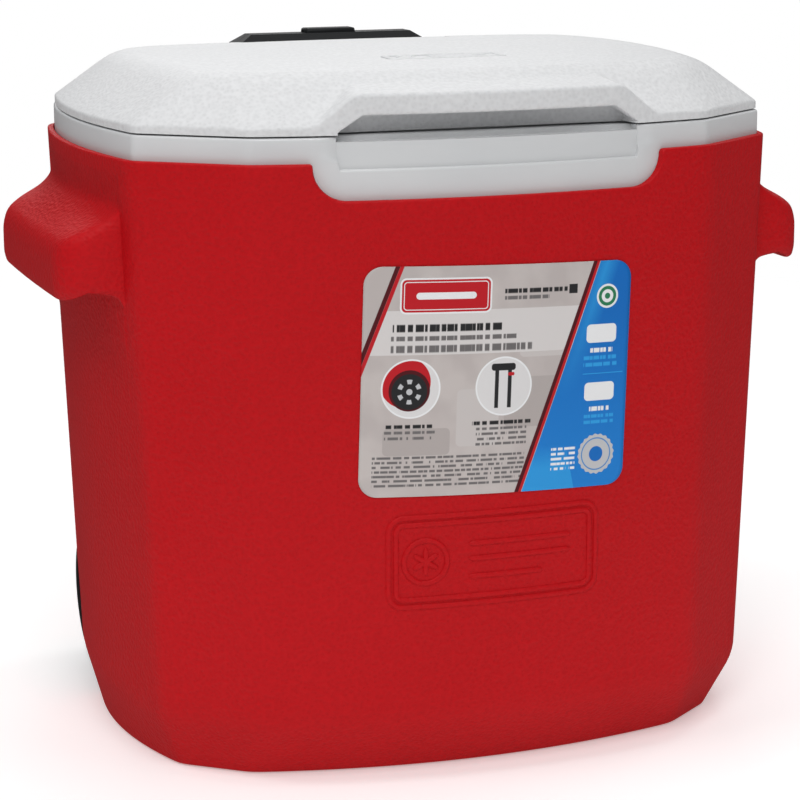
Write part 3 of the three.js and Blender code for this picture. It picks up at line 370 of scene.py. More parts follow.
def eased_profile(corners: list[tuple[float, float, float]], steps: int = 4) -> Array:
    """A profile of (radius, along, corner radius) corners with each corner rounded, (N, 2)."""
    rails = [np.array([[r, a, 0.0]]) for r, a, _ in corners]
    return rounded(rails, [c for _, _, c in corners], steps)[:, 0, :2]


def bevelled_copy(node: str, width: float, sharp: float = 35.0) -> bpy.types.Object:
    """A copy of a CAD node with its triangles merged into flat faces and its edges rounded."""
    mesh = frame["nodes"][node].data.copy()
    mesh.name = f"{node}_soft"
    work = bmesh.new()
    work.from_mesh(mesh)
    bmesh.ops.remove_doubles(work, verts=work.verts, dist=0.002 * MM)
    bmesh.ops.dissolve_limit(
        work, angle_limit=math.radians(1.0), verts=work.verts, edges=work.edges
    )
    work.to_mesh(mesh)
    work.free()
    mesh.shade_smooth()
    mesh.set_sharp_from_angle(angle=math.radians(sharp))
    thing = bpy.data.objects.new(f"{node}_soft", mesh)
    bpy.context.scene.collection.objects.link(thing)
    bevel = thing.modifiers.new("edges", "BEVEL")
    bevel.width = width * MM
    bevel.segments = 2
    bevel.limit_method = "ANGLE"
    bevel.angle_limit = math.radians(sharp)
    return thing


# ---------------------------------------------------------------- the shared plan outline


@dataclass(frozen=True)
class Form:
    """One outline of the family: how far it is grown, and how it treats the channel and bends."""

    grow: float = 0.0
    margin: float = 0.0
    channel: bool = True
    bend: float = 12.0
    nook: float = 2.0


class Plan:
    """The bowed, eight-sided outline with a channel at the back that every layer follows.

    A place on it is q, the distance in millimetres along the rim from the front centre, to the
    right, round to the back centre; z chooses the draft and the tuck-in at the foot.
    """

    def __init__(self) -> None:
        """Works out the mitre of every bend and the length of every span at the rim."""
        normals = [
            self._unit(2 * FRONT_BOW / (HALF_WIDTH - END_BOW - CORNER_X), -1.0),
            self._unit(CORNER_Y, -CORNER_X),
        ]
        half_end = (REAR_DEPTH + FRONT_DEPTH - FRONT_BOW - 2 * CORNER_Y) / 2
        normals += [self._unit(half_end, -2 * END_BOW), self._unit(half_end, 2 * END_BOW)]
        normals += [self._unit(CORNER_Y, CORNER_X), np.array([0.0, 1.0])]
        pairs = [(0, 1), (1, 2), (3, 4), (4, 5)]
        self.mitres = [self._mitre(normals[a], normals[b]) for a, b in pairs]
        x, y = self.corners(np.array([RIM_Z]), Form())
        spans = np.hypot(np.diff(x[:, 0]), np.diff(y[:, 0]))
        self.knots = np.concatenate([[0.0], np.cumsum(spans)])
        self.end = float(self.knots[-1])

    @staticmethod
    def _unit(x: float, y: float) -> Array:
        """A direction of length one."""
        return np.array([x, y]) / math.hypot(x, y)

    @staticmethod
    def _mitre(a: Array, b: Array) -> Array:
        """How far a bend moves for each millimetre that its two edges move outwards."""
        return (a + b) / (1 + a @ b)

    def corners(self, z: Array, form: Form) -> tuple[Array, Array]:
        """The outline's eight corner points at each height, from front centre to back centre.

        Draft grows in proportion to the fall below the shell's top; the foot turns in below
        the fold; both are rounded where they meet. Growing moves each bend along its mitre.

        Args:
            z: heights, any shape.
            form: which outline of the family.

        Returns:
            x and y, each of shape (8, ...).
        """
        z = np.asarray(z, float)
        below = ramp(FOLD_Z - z, FOLD_ROUND)
        fall = ramp(SHELL_TOP - z, 1.0) - below
        tuck = below / FOLD_Z
        g = form.grow
        front = -FRONT_DEPTH + FRONT_DRAFT * fall + FRONT_TUCK * tuck - g
        bend1_x = HALF_WIDTH - END_BOW - BEND_DRAFT * fall - BEND_TUCK * tuck
        bend2_x = HALF_WIDTH - END_BOW - CORNER_X - FACET_DRAFT * fall
        bend1_y = -(FRONT_DEPTH - FRONT_BOW - CORNER_Y) + BACK_DRAFT * fall + BEND_TUCK * tuck
        bend2_y = -(FRONT_DEPTH - FRONT_BOW) + FRONT_DRAFT * fall + FRONT_TUCK * tuck
        back = REAR_DEPTH - BACK_DRAFT * fall - BACK_TUCK * tuck
        m = [v * g for v in self.mitres]
        nook_x, floor = CHANNEL_HALF + form.margin, CHANNEL_FLOOR - form.margin
        zero = np.zeros_like(z)
        if not form.channel:
            floor = back + g
        x = [zero, bend2_x + m[0][0], bend1_x + m[1][0], bend1_x + m[2][0]]
        x += [bend2_x + m[3][0], zero + nook_x, zero + nook_x * (1.0 if form.channel else 0.6)]
        y = [front, bend2_y + m[0][1], bend1_y + m[1][1], back - CORNER_Y + m[2][1]]
        y += [back + m[3][1], back + g, zero + floor]
        return np.stack(x + [zero]), np.stack(y + [zero + floor])

    def at(self, q: Array, z: Array | float, form: Form) -> tuple[Array, Array]:
        """Points on the outline, with its bends rounded.

        A point is the weighted mean of the sharp outline over a window, widest at the body's
        bends and narrow at the channel. Along a straight edge the mean is the point itself.

        Args:
            q: places along the outline.
            z: heights, which broadcast with q.
            form: which outline of the family.

        Returns:
            x and y.
        """
        q, z = np.broadcast_arrays(np.asarray(q, float), np.asarray(z, float))
        b, n = form.bend, form.nook
        window = np.interp(np.abs(q), self.knots, [b, b, b * 0.8, b, b, n, n, n])
        x, y, total = 0.0, 0.0, 0.0
        corner_x, corner_y = self.corners(z, form)
        for offset in np.linspace(-0.9, 0.9, 13):
            weight = 1 - abs(offset)
            px, py = self._sharp(q + window * offset, corner_x, corner_y, z, form)
            x, y, total = x + weight * px, y + weight * py, total + weight
        return x / total, y / total

    def _sharp(
        self, q: Array, corner_x: Array, corner_y: Array, z: Array, form: Form
    ) -> tuple[Array, Array]:
        """The outline before its bends are rounded.

        Its edges are straight but for a parabola y = c + k x^2 over the front and another over
        each end.

        Args:
            q: places, which may run past either end.
            corner_x: the corners' x at each height.
            corner_y: the corners' y at each height.
            z: heights.
            form: which outline of the family.

        Returns:
            x and y.
        """
        q = (q + self.end) % (2 * self.end) - self.end
        side, q = np.where(q < 0, -1.0, 1.0), np.abs(q)
        k = np.clip(np.searchsorted(self.knots, q, side="right") - 1, 0, 6)
        t = (q - self.knots[k]) / (self.knots[k + 1] - self.knots[k])

        def take(values: Array, index: Array) -> Array:
            """The corner values at an index, one for each place."""
            return np.take_along_axis(values, index[None], axis=0)[0]

        x = take(corner_x, k) * (1 - t) + take(corner_x, k + 1) * t
        y = take(corner_y, k) * (1 - t) + take(corner_y, k + 1) * t
        y = y + np.where(k == 0, (corner_y[1] - corner_y[0]) * (t * t - t), 0.0)
        fall = np.clip(SHELL_TOP - np.maximum(z, FOLD_Z), 0, None)
        tuck = np.clip(1 - z / FOLD_Z, 0, None)
        reach = HALF_WIDTH - END_DRAFT * fall - END_TUCK * tuck + form.grow
        bow = reach - corner_x[2]
        x = x + np.where(k == 2, bow * (1 - (2 * t - 1) ** 2), 0.0)
        return side * x, y

    def rail(self, q: Array, z: Array | float, form: Form) -> Array:
        """Points on the outline as (..., 3)."""
        x, y = self.at(q, z, form)
        return stack(x, y, z)

    def find(
        self, axis: int, value: Array | float, z: Array, low: float, high: float, form: Form
    ) -> Array:
        """The places where a coordinate has a value.

        The coordinate rises or falls steadily between the limits, so the span is halved forty
        times over the whole array.

        Args:
            axis: 0 for x, 1 for y.
            value: what the coordinate is there.
            z: heights.
            low: the place to look from.
            high: the place to look to.
            form: which outline of the family.

        Returns:
            The place q for each value and height.
        """
        value, z = np.broadcast_arrays(np.asarray(value, float), np.asarray(z, float))
        a, b = np.full(value.shape, float(low)), np.full(value.shape, float(high))
        rising = self.at(b, z, form)[axis] > self.at(a, z, form)[axis]
        for _ in range(40):
            mid = (a + b) / 2
            before = (self.at(mid, z, form)[axis] < value) == rising
            a, b = np.where(before, mid, a), np.where(before, b, mid)
        return (a + b) / 2


PLAN = Plan()


@dataclass(frozen=True)
class Arch:
    """The cut that a wheel's arch makes in a wall, as a detour of the wall's columns.

    Every column starts at A on the base, rises on the arch's inner face to B, runs out to C on
    the wall and goes on up the wall. The upright front of the arch and the edge where its inner
    face meets the back wall are covered by columns nested like corner brackets.
    """

    radius: float = WELL_R
    inner_x: float = WELL_INNER_X
    base_z: float = 0.0
    steps: tuple[int, int, int] = ARCH_STEPS
    tail: float = 6.0

    def columns(self, form: Form) -> tuple[Array, Array, Array, Array]:
        """The detour's rails.

        Args:
            form: the wall's outline.

        Returns:
            A, B and C, each (n, 3), and the place q of each C on the outline.
        """
        k = PLAN.knots
        front_y = WHEEL_Y - self.radius
        edge_z = WHEEL_Z + math.sqrt(max(self.radius**2 - (REAR_DEPTH - WHEEL_Y) ** 2, 0))
        edge_q = PLAN.find(0, self.inner_x, np.array([edge_z]), k[3] - 5, k[4] + 30, form)
        edge_y = float(PLAN.at(edge_q, np.array([edge_z]), form)[1][0])
        share = np.arange(1, self.steps[0] + 1) / self.steps[0]
        z0 = self.base_z + (WHEEL_Z - self.base_z) * share
        q0 = PLAN.find(1, front_y, z0, k[2] + 5, k[3] - 5, form)
        wall0 = PLAN.at(q0, z0, form)[0]
        x0 = wall0 + (self.inner_x - wall0) * share
        stop = math.acos((edge_y - self.tail - WHEEL_Y) / self.radius)
        angle = np.linspace(math.pi, stop, self.steps[1] + 1)[1:]
        y1 = WHEEL_Y + self.radius * np.cos(angle)
        z1 = WHEEL_Z + self.radius * np.sin(angle)
        q1 = PLAN.find(1, y1, z1, k[2] + 5, k[4] + 10, form)
        share = np.arange(self.steps[2], 0, -1) / self.steps[2]
        z2 = self.base_z + (edge_z - self.base_z) * share
        q2 = PLAN.find(0, self.inner_x, z2, k[3] - 5, k[4] + 30, form)
        y2 = PLAN.at(q2, z2, form)[1] - self.tail * share
        q, z = np.concatenate([q0, q1, q2]), np.concatenate([z0, z1, z2])
        x = np.concatenate([x0, np.full(len(q1) + len(q2), self.inner_x)])
        y = np.concatenate([np.full(len(q0), front_y), y1, y2])
        return stack(x, y, self.base_z), stack(x, y, z), PLAN.rail(q, z, form), q


@dataclass
class Walls:
    """Columns of a wall from its base to its top, with the detour over a wheel worked in.

    Outside the stretch from index first to last, a column stands at the same place at its foot
    and at its top. Inside it the feet are shared out over the arch and the columns fan out.
    """

    top_q: Array
    first: int
    last: int
    arch: Arch
    form: Form
    lead: tuple[int, int] = ARCH_LEAD

    def feet(self) -> tuple[Array, Array, Array, Array]:
        """A, B, C and the place of C for every column of the wall."""
        a, b, c, q = self.arch.columns(self.form)
        ahead = np.linspace(self.top_q[self.first], q[0], self.lead[0], endpoint=False)
        after = np.linspace(q[-1], self.top_q[self.last], self.lead[1] + 1)[1:]
        plain_q = [self.top_q[: self.first], ahead, after, self.top_q[self.last + 1 :]]
        parts = [self._plain(p) for p in plain_q]
        order = [parts[0], parts[1], (a, b, c), parts[2], parts[3]]
        rails = [np.concatenate([part[i] for part in order]) for i in range(3)]
        return (*rails, np.concatenate([plain_q[0], ahead, q, after, plain_q[3]]))

    def _plain(self, q: Array) -> tuple[Array, Array, Array]:
        """The three rails of columns with no arch: close together at the wall's foot."""
        z = self.arch.base_z
        return tuple(PLAN.rail(q, z + dz, self.form) for dz in (0.0, 3.0, 6.0))

    def rows(self, foot_q: Array, foot_z: Array, top_z: float, shares: Array) -> Array:
        """Rows up the wall between the feet and a level height.

        Args:
            foot_q: where each column starts.
            foot_z: the height at which it starts.
            top_z: the height of the last row, by which every column is at its top place.
            shares: how far up each row lies, from 0 to 1.

        Returns:
            The rows (R, U, 3).
        """
        share = shares[:, None]
        z = foot_z + (top_z - foot_z) * share
        q = foot_q + (self.top_q - foot_q) * ease(share * 1.15)
        return PLAN.rail(q, z, self.form)


# ---------------------------------------------------------------- shader helpers


class Wire:
    """A shader socket that takes part in sums: each operator adds one Math node."""

    def __init__(self, book: "Book", socket: bpy.types.NodeSocket) -> None:
        """Wraps a socket of a book's tree."""
        self.book = book
        self.socket = socket

    def _math(self, operation: str, *values: "Wire | float") -> "Wire":
        """A Math node on this socket and others."""
        inputs = dict(enumerate(values))
        return self.book.node("ShaderNodeMath", {"operation": operation}, inputs)

    def __add__(self, other: "Wire | float") -> "Wire":
        """self + other."""
        return self._math("ADD", self, other)

    __radd__ = __add__

    def __sub__(self, other: "Wire | float") -> "Wire":
        """self - other."""
        return self._math("SUBTRACT", self, other)

    def __rsub__(self, other: "Wire | float") -> "Wire":
        """other - self."""
        return self._math("SUBTRACT", other, self)

    def __mul__(self, other: "Wire | float") -> "Wire":
        """self * other."""
        return self._math("MULTIPLY", self, other)

    __rmul__ = __mul__

    def __truediv__(self, other: "Wire | float") -> "Wire":
        """self / other."""
        return self._math("DIVIDE", self, other)

    def __pow__(self, other: float) -> "Wire":
        """self to a power."""
        return self._math("POWER", self, other)

    def size(self) -> "Wire":
        """The absolute value."""
        return self._math("ABSOLUTE", self)

    def most(self, other: "Wire | float") -> "Wire":
        """The greater of the two."""
        return self._math("MAXIMUM", self, other)

    def fraction(self) -> "Wire":
        """The part after the decimal point."""
        return self._math("FRACT", self)

    def whole(self) -> "Wire":
        """The whole number below."""
        return self._math("FLOOR", self)

    def sine(self) -> "Wire":
        """The sine of an angle in radians."""
        return self._math("SINE", self)

    def bearing(self, along: "Wire") -> "Wire":
        """The angle, in radians, of a point that lies this far up and that far along."""
        return self._math("ARCTAN2", self, along)

    def beside(self, output: int) -> "Wire":
        """Another output of the node that this wire leaves."""
        return Wire(self.book, self.socket.node.outputs[output])

    def below(self, edge: float, soft: float = 0.12) -> "Wire":
        """1 where the value is below an edge and 0 above it, over a soft width."""
        settings = {"interpolation_type": "LINEAR", "clamp": True}
        values = {0: self, 1: edge - soft, 2: edge + soft, 3: 1.0, 4: 0.0}
        return self.book.node("ShaderNodeMapRange", settings, values)

    def spread(
        self, low: float, high: float, to_low: float = 0.0, to_high: float = 1.0
    ) -> "Wire":
        """The value between low and high carried to another range, and held there."""
        values = {0: self, 1: low, 2: high, 3: to_low, 4: to_high}
        return self.book.node("ShaderNodeMapRange", {"clamp": True}, values)


class Book:
    """A material's node tree, written as sums on wires."""

    def __init__(self, name: str) -> None:
        """Starts a material with one Principled shader."""
        self.material = bpy.data.materials.new(name)
        self.material.use_nodes = True
        self.tree = self.material.node_tree
        self.shader = next(n for n in self.tree.nodes if n.type == "BSDF_PRINCIPLED")
        self.coordinates = self.tree.nodes.new("ShaderNodeTexCoord")

    def node(self, kind: str, settings: dict, inputs: dict, output: int | str = 0) -> Wire:
        """Any node: its settings are set first, and then its sockets are given or linked.

        Args:
            kind: the node's type.
            settings: attributes of the node.
            inputs: values or wires by socket index or name.
            output: the socket to hand back.

        Returns:
            The chosen output.
        """
        made = self.tree.nodes.new(kind)
        for key, value in settings.items():
            setattr(made, key, value)
        for key, value in inputs.items():
            if isinstance(value, Wire):
                self.tree.links.new(value.socket, made.inputs[key])
            else:
                made.inputs[key].default_value = value
        return Wire(self, made.outputs[output])

    def place(self) -> Wire:
        """The point on the piece, in the row frame, in metres."""
        return Wire(self, self.coordinates.outputs["Object"])

    def stretched(self, scale: tuple[float, float, float]) -> Wire:
        """The point on the piece with each axis scaled."""
        return self.node("ShaderNodeMapping", {}, {0: self.place(), 3: scale})

    def noise(
        self, scale: float, detail: float = 3.0, rough: float = 0.5, at: Wire | None = None
    ) -> Wire:
        """Cloudy noise between 0 and 1; scale is in lumps to the metre."""
        values = {"Scale": scale, "Detail": detail, "Roughness": rough}
        return self.node("ShaderNodeTexNoise", {}, {"Vector": at or self.place(), **values})

    def cells(self, scale: float, feature: str = "F1") -> Wire:
        """Distance to the nearest of scattered points, in cell widths."""
        values = {"Vector": self.place(), "Scale": scale}
        settings = {"feature": feature, "voronoi_dimensions": "3D"}
        return self.node("ShaderNodeTexVoronoi", settings, values)

    def mix(self, a: Wire | Colour, b: Wire | Colour, share: Wire) -> Wire:
        """Colour a where share is 0 and colour b where it is 1."""
        settings = {"data_type": "RGBA", "clamp_factor": True}
        a, b = [c if isinstance(c, Wire) else (*c, 1.0) for c in (a, b)]
        return self.node("ShaderNodeMix", settings, {0: share, 6: a, 7: b}, 2)

    def bump(self, height: Wire, depth_mm: float, strength: float = 1.0) -> Wire:
        """A bump of a given depth."""
        values = {"Height": height, "Distance": depth_mm * MM, "Strength": strength}
        return self.node("ShaderNodeBump", {}, values)

    def finish(
        self,
        colour: Wire,
        rough: Wire | float,
        bump: Wire | None = None,
        **others: Wire | float | tuple,
    ) -> bpy.types.Material:
        """Joins the shader's sockets and hands over the material.

        Args:
            colour: the base colour.
            rough: the roughness.
            bump: the bump, if there is one.
            others: more sockets by name, with _ for each space.

        Returns:
            The material.
        """
        sockets = {"Base Color": colour, "Roughness": rough}
        if bump is not None:
            sockets["Normal"] = bump
        sockets.update({key.replace("_", " "): value for key, value in others.items()})
        for key, value in sockets.items():
            if isinstance(value, Wire):
                self.tree.links.new(value.socket, self.shader.inputs[key])
            else:
                self.shader.inputs[key].default_value = value
        return self.material


@dataclass(frozen=True)
class PebbledPlastic:
    """Moulded plastic with a leathery grain of small pebbles."""

    name: str
    colour: Colour
    pale: Colour
    rough: float = 0.46
    pebble_per_metre: float = 430.0
    depth_mm: float = 0.5
    shine: float = 0.16

    def make(self) -> bpy.types.Material:
        """The material."""
        book = Book(self.name)
        warp = book.noise(260.0, 2.0)
        grain = book.cells(self.pebble_per_metre, "SMOOTH_F1")
        fine = book.noise(self.pebble_per_metre * 2.2, 3.0, 0.6)
        height = grain * (0.6 + 0.8 * warp) + fine * 0.35
        cloud = book.noise(9.0, 3.0, 0.55)
        tone = book.mix(self.colour, self.pale, cloud.spread(0.35, 0.75, 0.0, 0.35))
        # painted shade: the colour is darkened in the pebbles' hollows, where shade falls between
        # the pebbles
        hollow = grain.spread(0.1, 0.7, 0.22, 0.0)
        tone = book.mix(tone, tuple(c * 0.55 for c in self.colour), hollow)
        rough = self.rough + (fine - 0.5) * 0.12 + (cloud - 0.5) * 0.10
        bump = book.bump(height, self.depth_mm)
        return book.finish(tone, rough, bump, Specular_IOR_Level=self.shine)


@dataclass(frozen=True)
class SmoothPlastic:
    """Moulded plastic with a satin skin, faint flow marks and fine scuffs."""

    name: str
    colour: Colour
    pale: Colour
    rough: float = 0.34
    depth_mm: float = 0.03
    scuff: float = 0.05

    def make(self) -> bpy.types.Material:
        """The material."""
        book = Book(self.name)
        flow = book.noise(14.0, 4.0, 0.55, book.stretched((1.0, 1.0, 2.6)))
        fine = book.noise(1500.0, 2.0, 0.5)
        scratch = book.noise(90.0, 5.0, 0.7, book.stretched((1.0, 1.0, 14.0)))
        tone = book.mix(self.colour, self.pale, flow.spread(0.35, 0.7, 0.0, 0.5))
        mark = scratch.spread(0.60, 0.72, 0.0, 1.0)
        rough = self.rough + (flow - 0.5) * 0.12 + mark * self.scuff
        height = fine * 0.6 + scratch * 0.5
        bump = book.bump(height, self.depth_mm)
        return book.finish(tone, rough, bump, Specular_IOR_Level=0.45)


@dataclass(frozen=True)
class Metal:
    """Painted or plated steel with drawing lines and a little wear."""

    name: str
    colour: Colour
    worn: Colour
    rough: float = 0.3
    metallic: float = 1.0
    wear: float = 0.2
    coat: float = 0.0

    def make(self) -> bpy.types.Material:
        """The material."""
        book = Book(self.name)
        lines = book.noise(420.0, 3.0, 0.6, book.stretched((1.0, 1.0, 0.06)))
        patch = book.noise(55.0, 4.0, 0.65)
        share = patch.spread(0.62, 0.8, 0.0, self.wear)
        tone = book.mix(self.colour, self.worn, share)
        rough = self.rough + (lines - 0.5) * 0.16 + share * 0.25
        bump = book.bump(lines + patch * 0.4, 0.02)
        return book.finish(tone, rough, bump, Metallic=self.metallic, Coat_Weight=self.coat)


@dataclass(frozen=True)
class Foam:
    """Rigid foam: bubbles with thin walls."""

    name: str = "foam"
    colour: Colour = (0.86, 0.76, 0.48)
    dark: Colour = (0.70, 0.56, 0.30)

    def make(self) -> bpy.types.Material:
        """The material."""
        book = Book(self.name)
        bubble = book.cells(900.0)
        cloud = book.noise(30.0, 4.0)
        tone = book.mix(self.colour, self.dark, cloud.spread(0.4, 0.8, 0.0, 0.6))
        bump = book.bump(bubble, 0.5)
        return book.finish(tone, 0.9 - bubble * 0.1, bump, Specular_IOR_Level=0.2)


RED = (0.53, 0.0036, 0.0072)


class Finishes:
    """Every material of the chest, made once."""

    def __init__(self) -> None:
        """Makes the materials."""
        self.red = PebbledPlastic("red_pebbled", RED, (0.60, 0.0050, 0.0105), 0.52).make()
        white, pale = (0.74, 0.745, 0.755), (0.80, 0.80, 0.81)
        self.lid = PebbledPlastic("white_pebbled", white, pale, 0.5, 430.0, 0.3).make()
        self.liner = SmoothPlastic("white_smooth", (0.66, 0.67, 0.68), (0.72, 0.725, 0.73)).make()
        black, soft = (0.012, 0.013, 0.014), (0.02, 0.021, 0.023)
        self.black = SmoothPlastic("black_satin", black, soft, 0.42, 0.05, 0.1).make()
        grip = PebbledPlastic("black_grained", black, soft, 0.5, 1100.0, 0.08)
        self.grip = grip.make()
        dust = (0.032, 0.031, 0.030)
        wheel = PebbledPlastic("wheel_black", (0.014, 0.014, 0.015), dust, 0.55, 800.0, 0.1)
        self.wheel = wheel.make()
        paint, worn = (0.016, 0.017, 0.019), (0.05, 0.05, 0.05)
        self.tube = Metal("tube_black_paint", paint, worn, 0.3, 0.0, 0.5, 0.3).make()
        self.steel = Metal("zinc_plated", (0.56, 0.57, 0.58), (0.40, 0.39, 0.37), 0.3).make()
        grey = SmoothPlastic("hinge_grey", (0.60, 0.61, 0.62), (0.66, 0.67, 0.68), 0.4, 0.05)
        self.hinge = grey.make()
        self.foam = Foam().make()


# ---------------------------------------------------------------- outer shell


@dataclass
class OuterShell:
    """The red moulded body: drafted walls, ears, wheel arches, handle channel, apron cut."""

    finish: bpy.types.Material
    form: Form = field(default_factory=lambda: Form(grow=SHELL_STEP, bend=14.0))
    ear_reach: float = 241.0
    ear_y: float = 8.85
    ear_full: float = 70.0
    ear_end: float = 29.0
    ear_low: float = 266.0
    ear_high: float = 351.0
    apron_half: float = 107.5
    apron_flat: float = 88.0
    apron_z: float = 350.0
    apron_corner: float = 2.5
    sole_inset: float = 8.0

    def top_places(self) -> tuple[Array, Array, int, int]:
        """Where each column ends at the top.

        Returns:
            q and z of each column's top, and the first and last column that fan over an arch.
        """
        k = PLAN.knots
        phi = np.linspace(0, math.pi / 2, 15)[:-1]
        arc_rise = SHELL_TOP - self.apron_corner - self.apron_z
        arc_q = self.apron_flat + (self.apron_half - self.apron_flat) * np.sin(phi)
        arc_z = self.apron_z + arc_rise * (1 - np.cos(phi))
        t = np.linspace(0, 1, 5)
        turn_q = self.apron_half + self.apron_corner * t**2
        turn_z = SHELL_TOP - self.apron_corner * (1 - t) ** 2
        front = spread((0, self.apron_flat, 18))[:-1]
        ear_q = (k[2] + k[3]) / 2
        rest = through(
            float(turn_q[-1]),
            (k[1], 14, 5, 12),
            (k[2], 10, 8, 10),
            (ear_q - self.ear_full, 0, 34, 0),
            (ear_q + 20, 0, 14, 0),
            (ear_q + self.ear_full, 0, 7, 0),
            (k[3], 10, 30, 10),
            (k[4], 14, 8, 12),
            (k[5], 4, 10, 8),
            (k[6], 4, 5, 8),
            (k[7], 0, 8, 0),
        )[1:]
        q = np.concatenate([front, arc_q, turn_q, rest])
        z = np.concatenate([np.full(len(front), self.apron_z), arc_z, turn_z])
        z = np.concatenate([z, np.full(len(rest), SHELL_TOP)])
        first = int(np.argmin(np.abs(q - (ear_q + 20))))
        return q, z, first, first + FAN

    def ear_rails(self, q: Array, top_z: Array) -> tuple[list[Array], list[float]]:
        """The rails that lead the wall out over the ear and back.

        Each rail is a blend of a point on the plain wall and a point on the full ear, by the
        share e = (1 - t^p)^(1/p), where t runs from 0 to 1 over the ear's end. The hollow under
        the ear fades out before the ends.

        Args:
            q: the columns' places.
            top_z: the height of each column's top.

        Returns:
            The rails, and the rounding radius of each.
        """
        wall_x, wall_y = PLAN.at(q, 300.0, self.form)
        off = np.abs(wall_y - self.ear_y)
        on_end = (q > PLAN.knots[2] - 20) & (q < PLAN.knots[3] + 20)
        t = np.clip((off - self.ear_full) / self.ear_end, 0, 1)
        power = 3.0
        share = np.where(on_end, (1 - t**power) ** (1 / power), 0.0)
        scoop = ease((80 - off) / 18)
        reach = self.ear_reach - 1.2 * (off / 80) ** 2
        # (from the wall, from the reach, height, lift by the hollow, wall height, radius)
        stations = [
            (0.0, None, self.ear_low, 0, self.ear_low, 0),
            (0.3, None, 290.5, 0, 276, 4),
            (2.5, None, 291, 9, 283, 6),
            (9.0, None, 292, 16, 290, 6),
            (None, -10.5, 292, 16.5, 296, 5),
            (None, -8.5, 290, 0, 301, 2.5),
            (None, -5.5, 286.8, 0, 306, 3),
            (None, -1.7, 288, 0, 311, 3.5),
            (None, 0.0, 294, 0, 316, 5),
            (None, 0.0, 312, 0, 322, 7),
            (None, -3.0, 321.5, 0, 328, 8),
            (None, -11.0, 327.5, 0, 331, 10),
            (9.0, None, 335, 0, 337, 12),
            (0.4, None, 343, 0, 343, 8),
            (0.0, None, self.ear_high, 0, self.ear_high, 0),
        ]
        rails, radii = [], []
        for from_wall, from_reach, height, lift, wall_z, radius in stations:
            squeeze = (top_z - self.ear_low) / (SHELL_TOP - self.ear_low)
            flat = PLAN.rail(q, self.ear_low + (wall_z - self.ear_low) * squeeze, self.form)
            ear_x = wall_x + from_wall if from_reach is None else reach + from_reach
            ear = stack(ear_x, flat[:, 1], height + lift * scoop)
            blend = share[:, None]
            rails.append(flat * (1 - blend) + ear * blend)
            radii.append(radius)
        return rails, radii

    def sole(self, a: Array, foot_q: Array, arch: tuple[int, int]) -> Array:
        """The ring that the flat sole is closed from, a little inside the walls and arches.

        Args:
            a: each column's point on the base.
            foot_q: each column's place at the foot.
            arch: the first column over the arch, and the one after its last.

        Returns:
            The ring's points.
        """
        inset = self.sole_inset
        inner = Form(self.form.grow - inset, inset, True, self.form.bend)
        ring = PLAN.rail(foot_q, 0.0, inner)
        start, stop = arch
        ring[start:stop] = a[start:stop] - np.array([inset, inset, 0.0])
        near = ease((ring[:, 1] - 10) / 52) * (np.arange(len(ring)) < start)
        ring[:, 1] -= inset * near * (foot_q > PLAN.knots[2])
        behind = ease((ring[:, 0] - 100) / 36) * (np.arange(len(ring)) >= stop)
        ring[:, 0] -= inset * behind
        return ring

    def skin(self) -> Array:
        """All rows of the closed shell: sole, outside, top ledge, inside, inner floor."""
        top_q, top_z, first, last = self.top_places()
        walls = Walls(top_q, first, last, Arch(), self.form)
        a, b, c, foot_q = walls.feet()
        start = first + ARCH_LEAD[0]
        arch = (start, start + sum(ARCH_STEPS))
        in_arch = np.zeros(len(top_q), bool)
        in_arch[arch[0] : arch[1]] = True
        above = PLAN.rail(foot_q, c[:, 2] + 5, self.form)
        edge = np.where(in_arch, 1.5, 5.0)
        base = rounded([self.sole(a, foot_q, arch), a, b, c, above], [0, edge, 3.0, 2.0, 0])
        shares = np.concatenate([np.linspace(0, 0.2, 12), np.linspace(0.2, 1, 22)[1:]])
        wall = walls.rows(foot_q, c[:, 2] + 5, self.ear_low, shares)[1:-1]
        rails, radii = self.ear_rails(top_q, top_z)
        ear = rounded(rails, radii)
        squeeze = (top_z - self.ear_low) / (SHELL_TOP - self.ear_low)
        brow_z = self.ear_low + (self.ear_high - self.ear_low) * squeeze
        neck = PLAN.rail(top_q, brow_z * 0.35 + (top_z - 3.5) * 0.65, self.form)
        ledge = Form(0.5, 4.0, True, 6.0)
        lining = Form(self.form.grow - SHELL_WALL, SHELL_WALL, True, self.form.bend)
        top = rounded(
            [
                ear[-1],
                neck,
                PLAN.rail(top_q, top_z, self.form),
                PLAN.rail(top_q, top_z, ledge),
                PLAN.rail(top_q, top_z - 14, ledge),
            ],
            [0, 0.5, 1.6, 0.6, 0],
            5,
        )[1:]
        shift = np.zeros_like(b)
        shift[arch[0] : arch[1]] = self.inward(b[arch[0] : arch[1]])
        inner_c = PLAN.rail(foot_q, c[:, 2] + 8, lining) + np.minimum(shift, 0)
        arched = in_arch[:, None]
        inner_b = np.where(arched, b + shift, PLAN.rail(foot_q, 11.0, lining))
        inner_a = np.where(arched, a + shift, PLAN.rail(foot_q, SHELL_WALL, lining))
        inner_a[:, 2] = SHELL_WALL
        high = PLAN.rail(top_q, top_z - 30, lining)
        inside = np.stack([high, inner_c, inner_b, inner_a])
        return np.concatenate([base, wall, ear, top, inside])

    def inward(self, b: Array) -> Array:
        """The step of a wall's thickness from an arch's faces into the chest.

        It points away from the wheel's centre over the arch, and forwards below that and at the
        back wall.

        Args:
            b: the arch's B points, (n, 3).

        Returns:
            One step (x, y, z) for each column.
        """
        y, z = b[:, 1] - WHEEL_Y, np.maximum(b[:, 2] - WHEEL_Z, 0)
        away = stack(-1.0, y / np.hypot(y, z), z / np.hypot(y, z))
        away[-ARCH_STEPS[2] :] = (-1.0, -1.0, 0.0)
        return SHELL_WALL * away

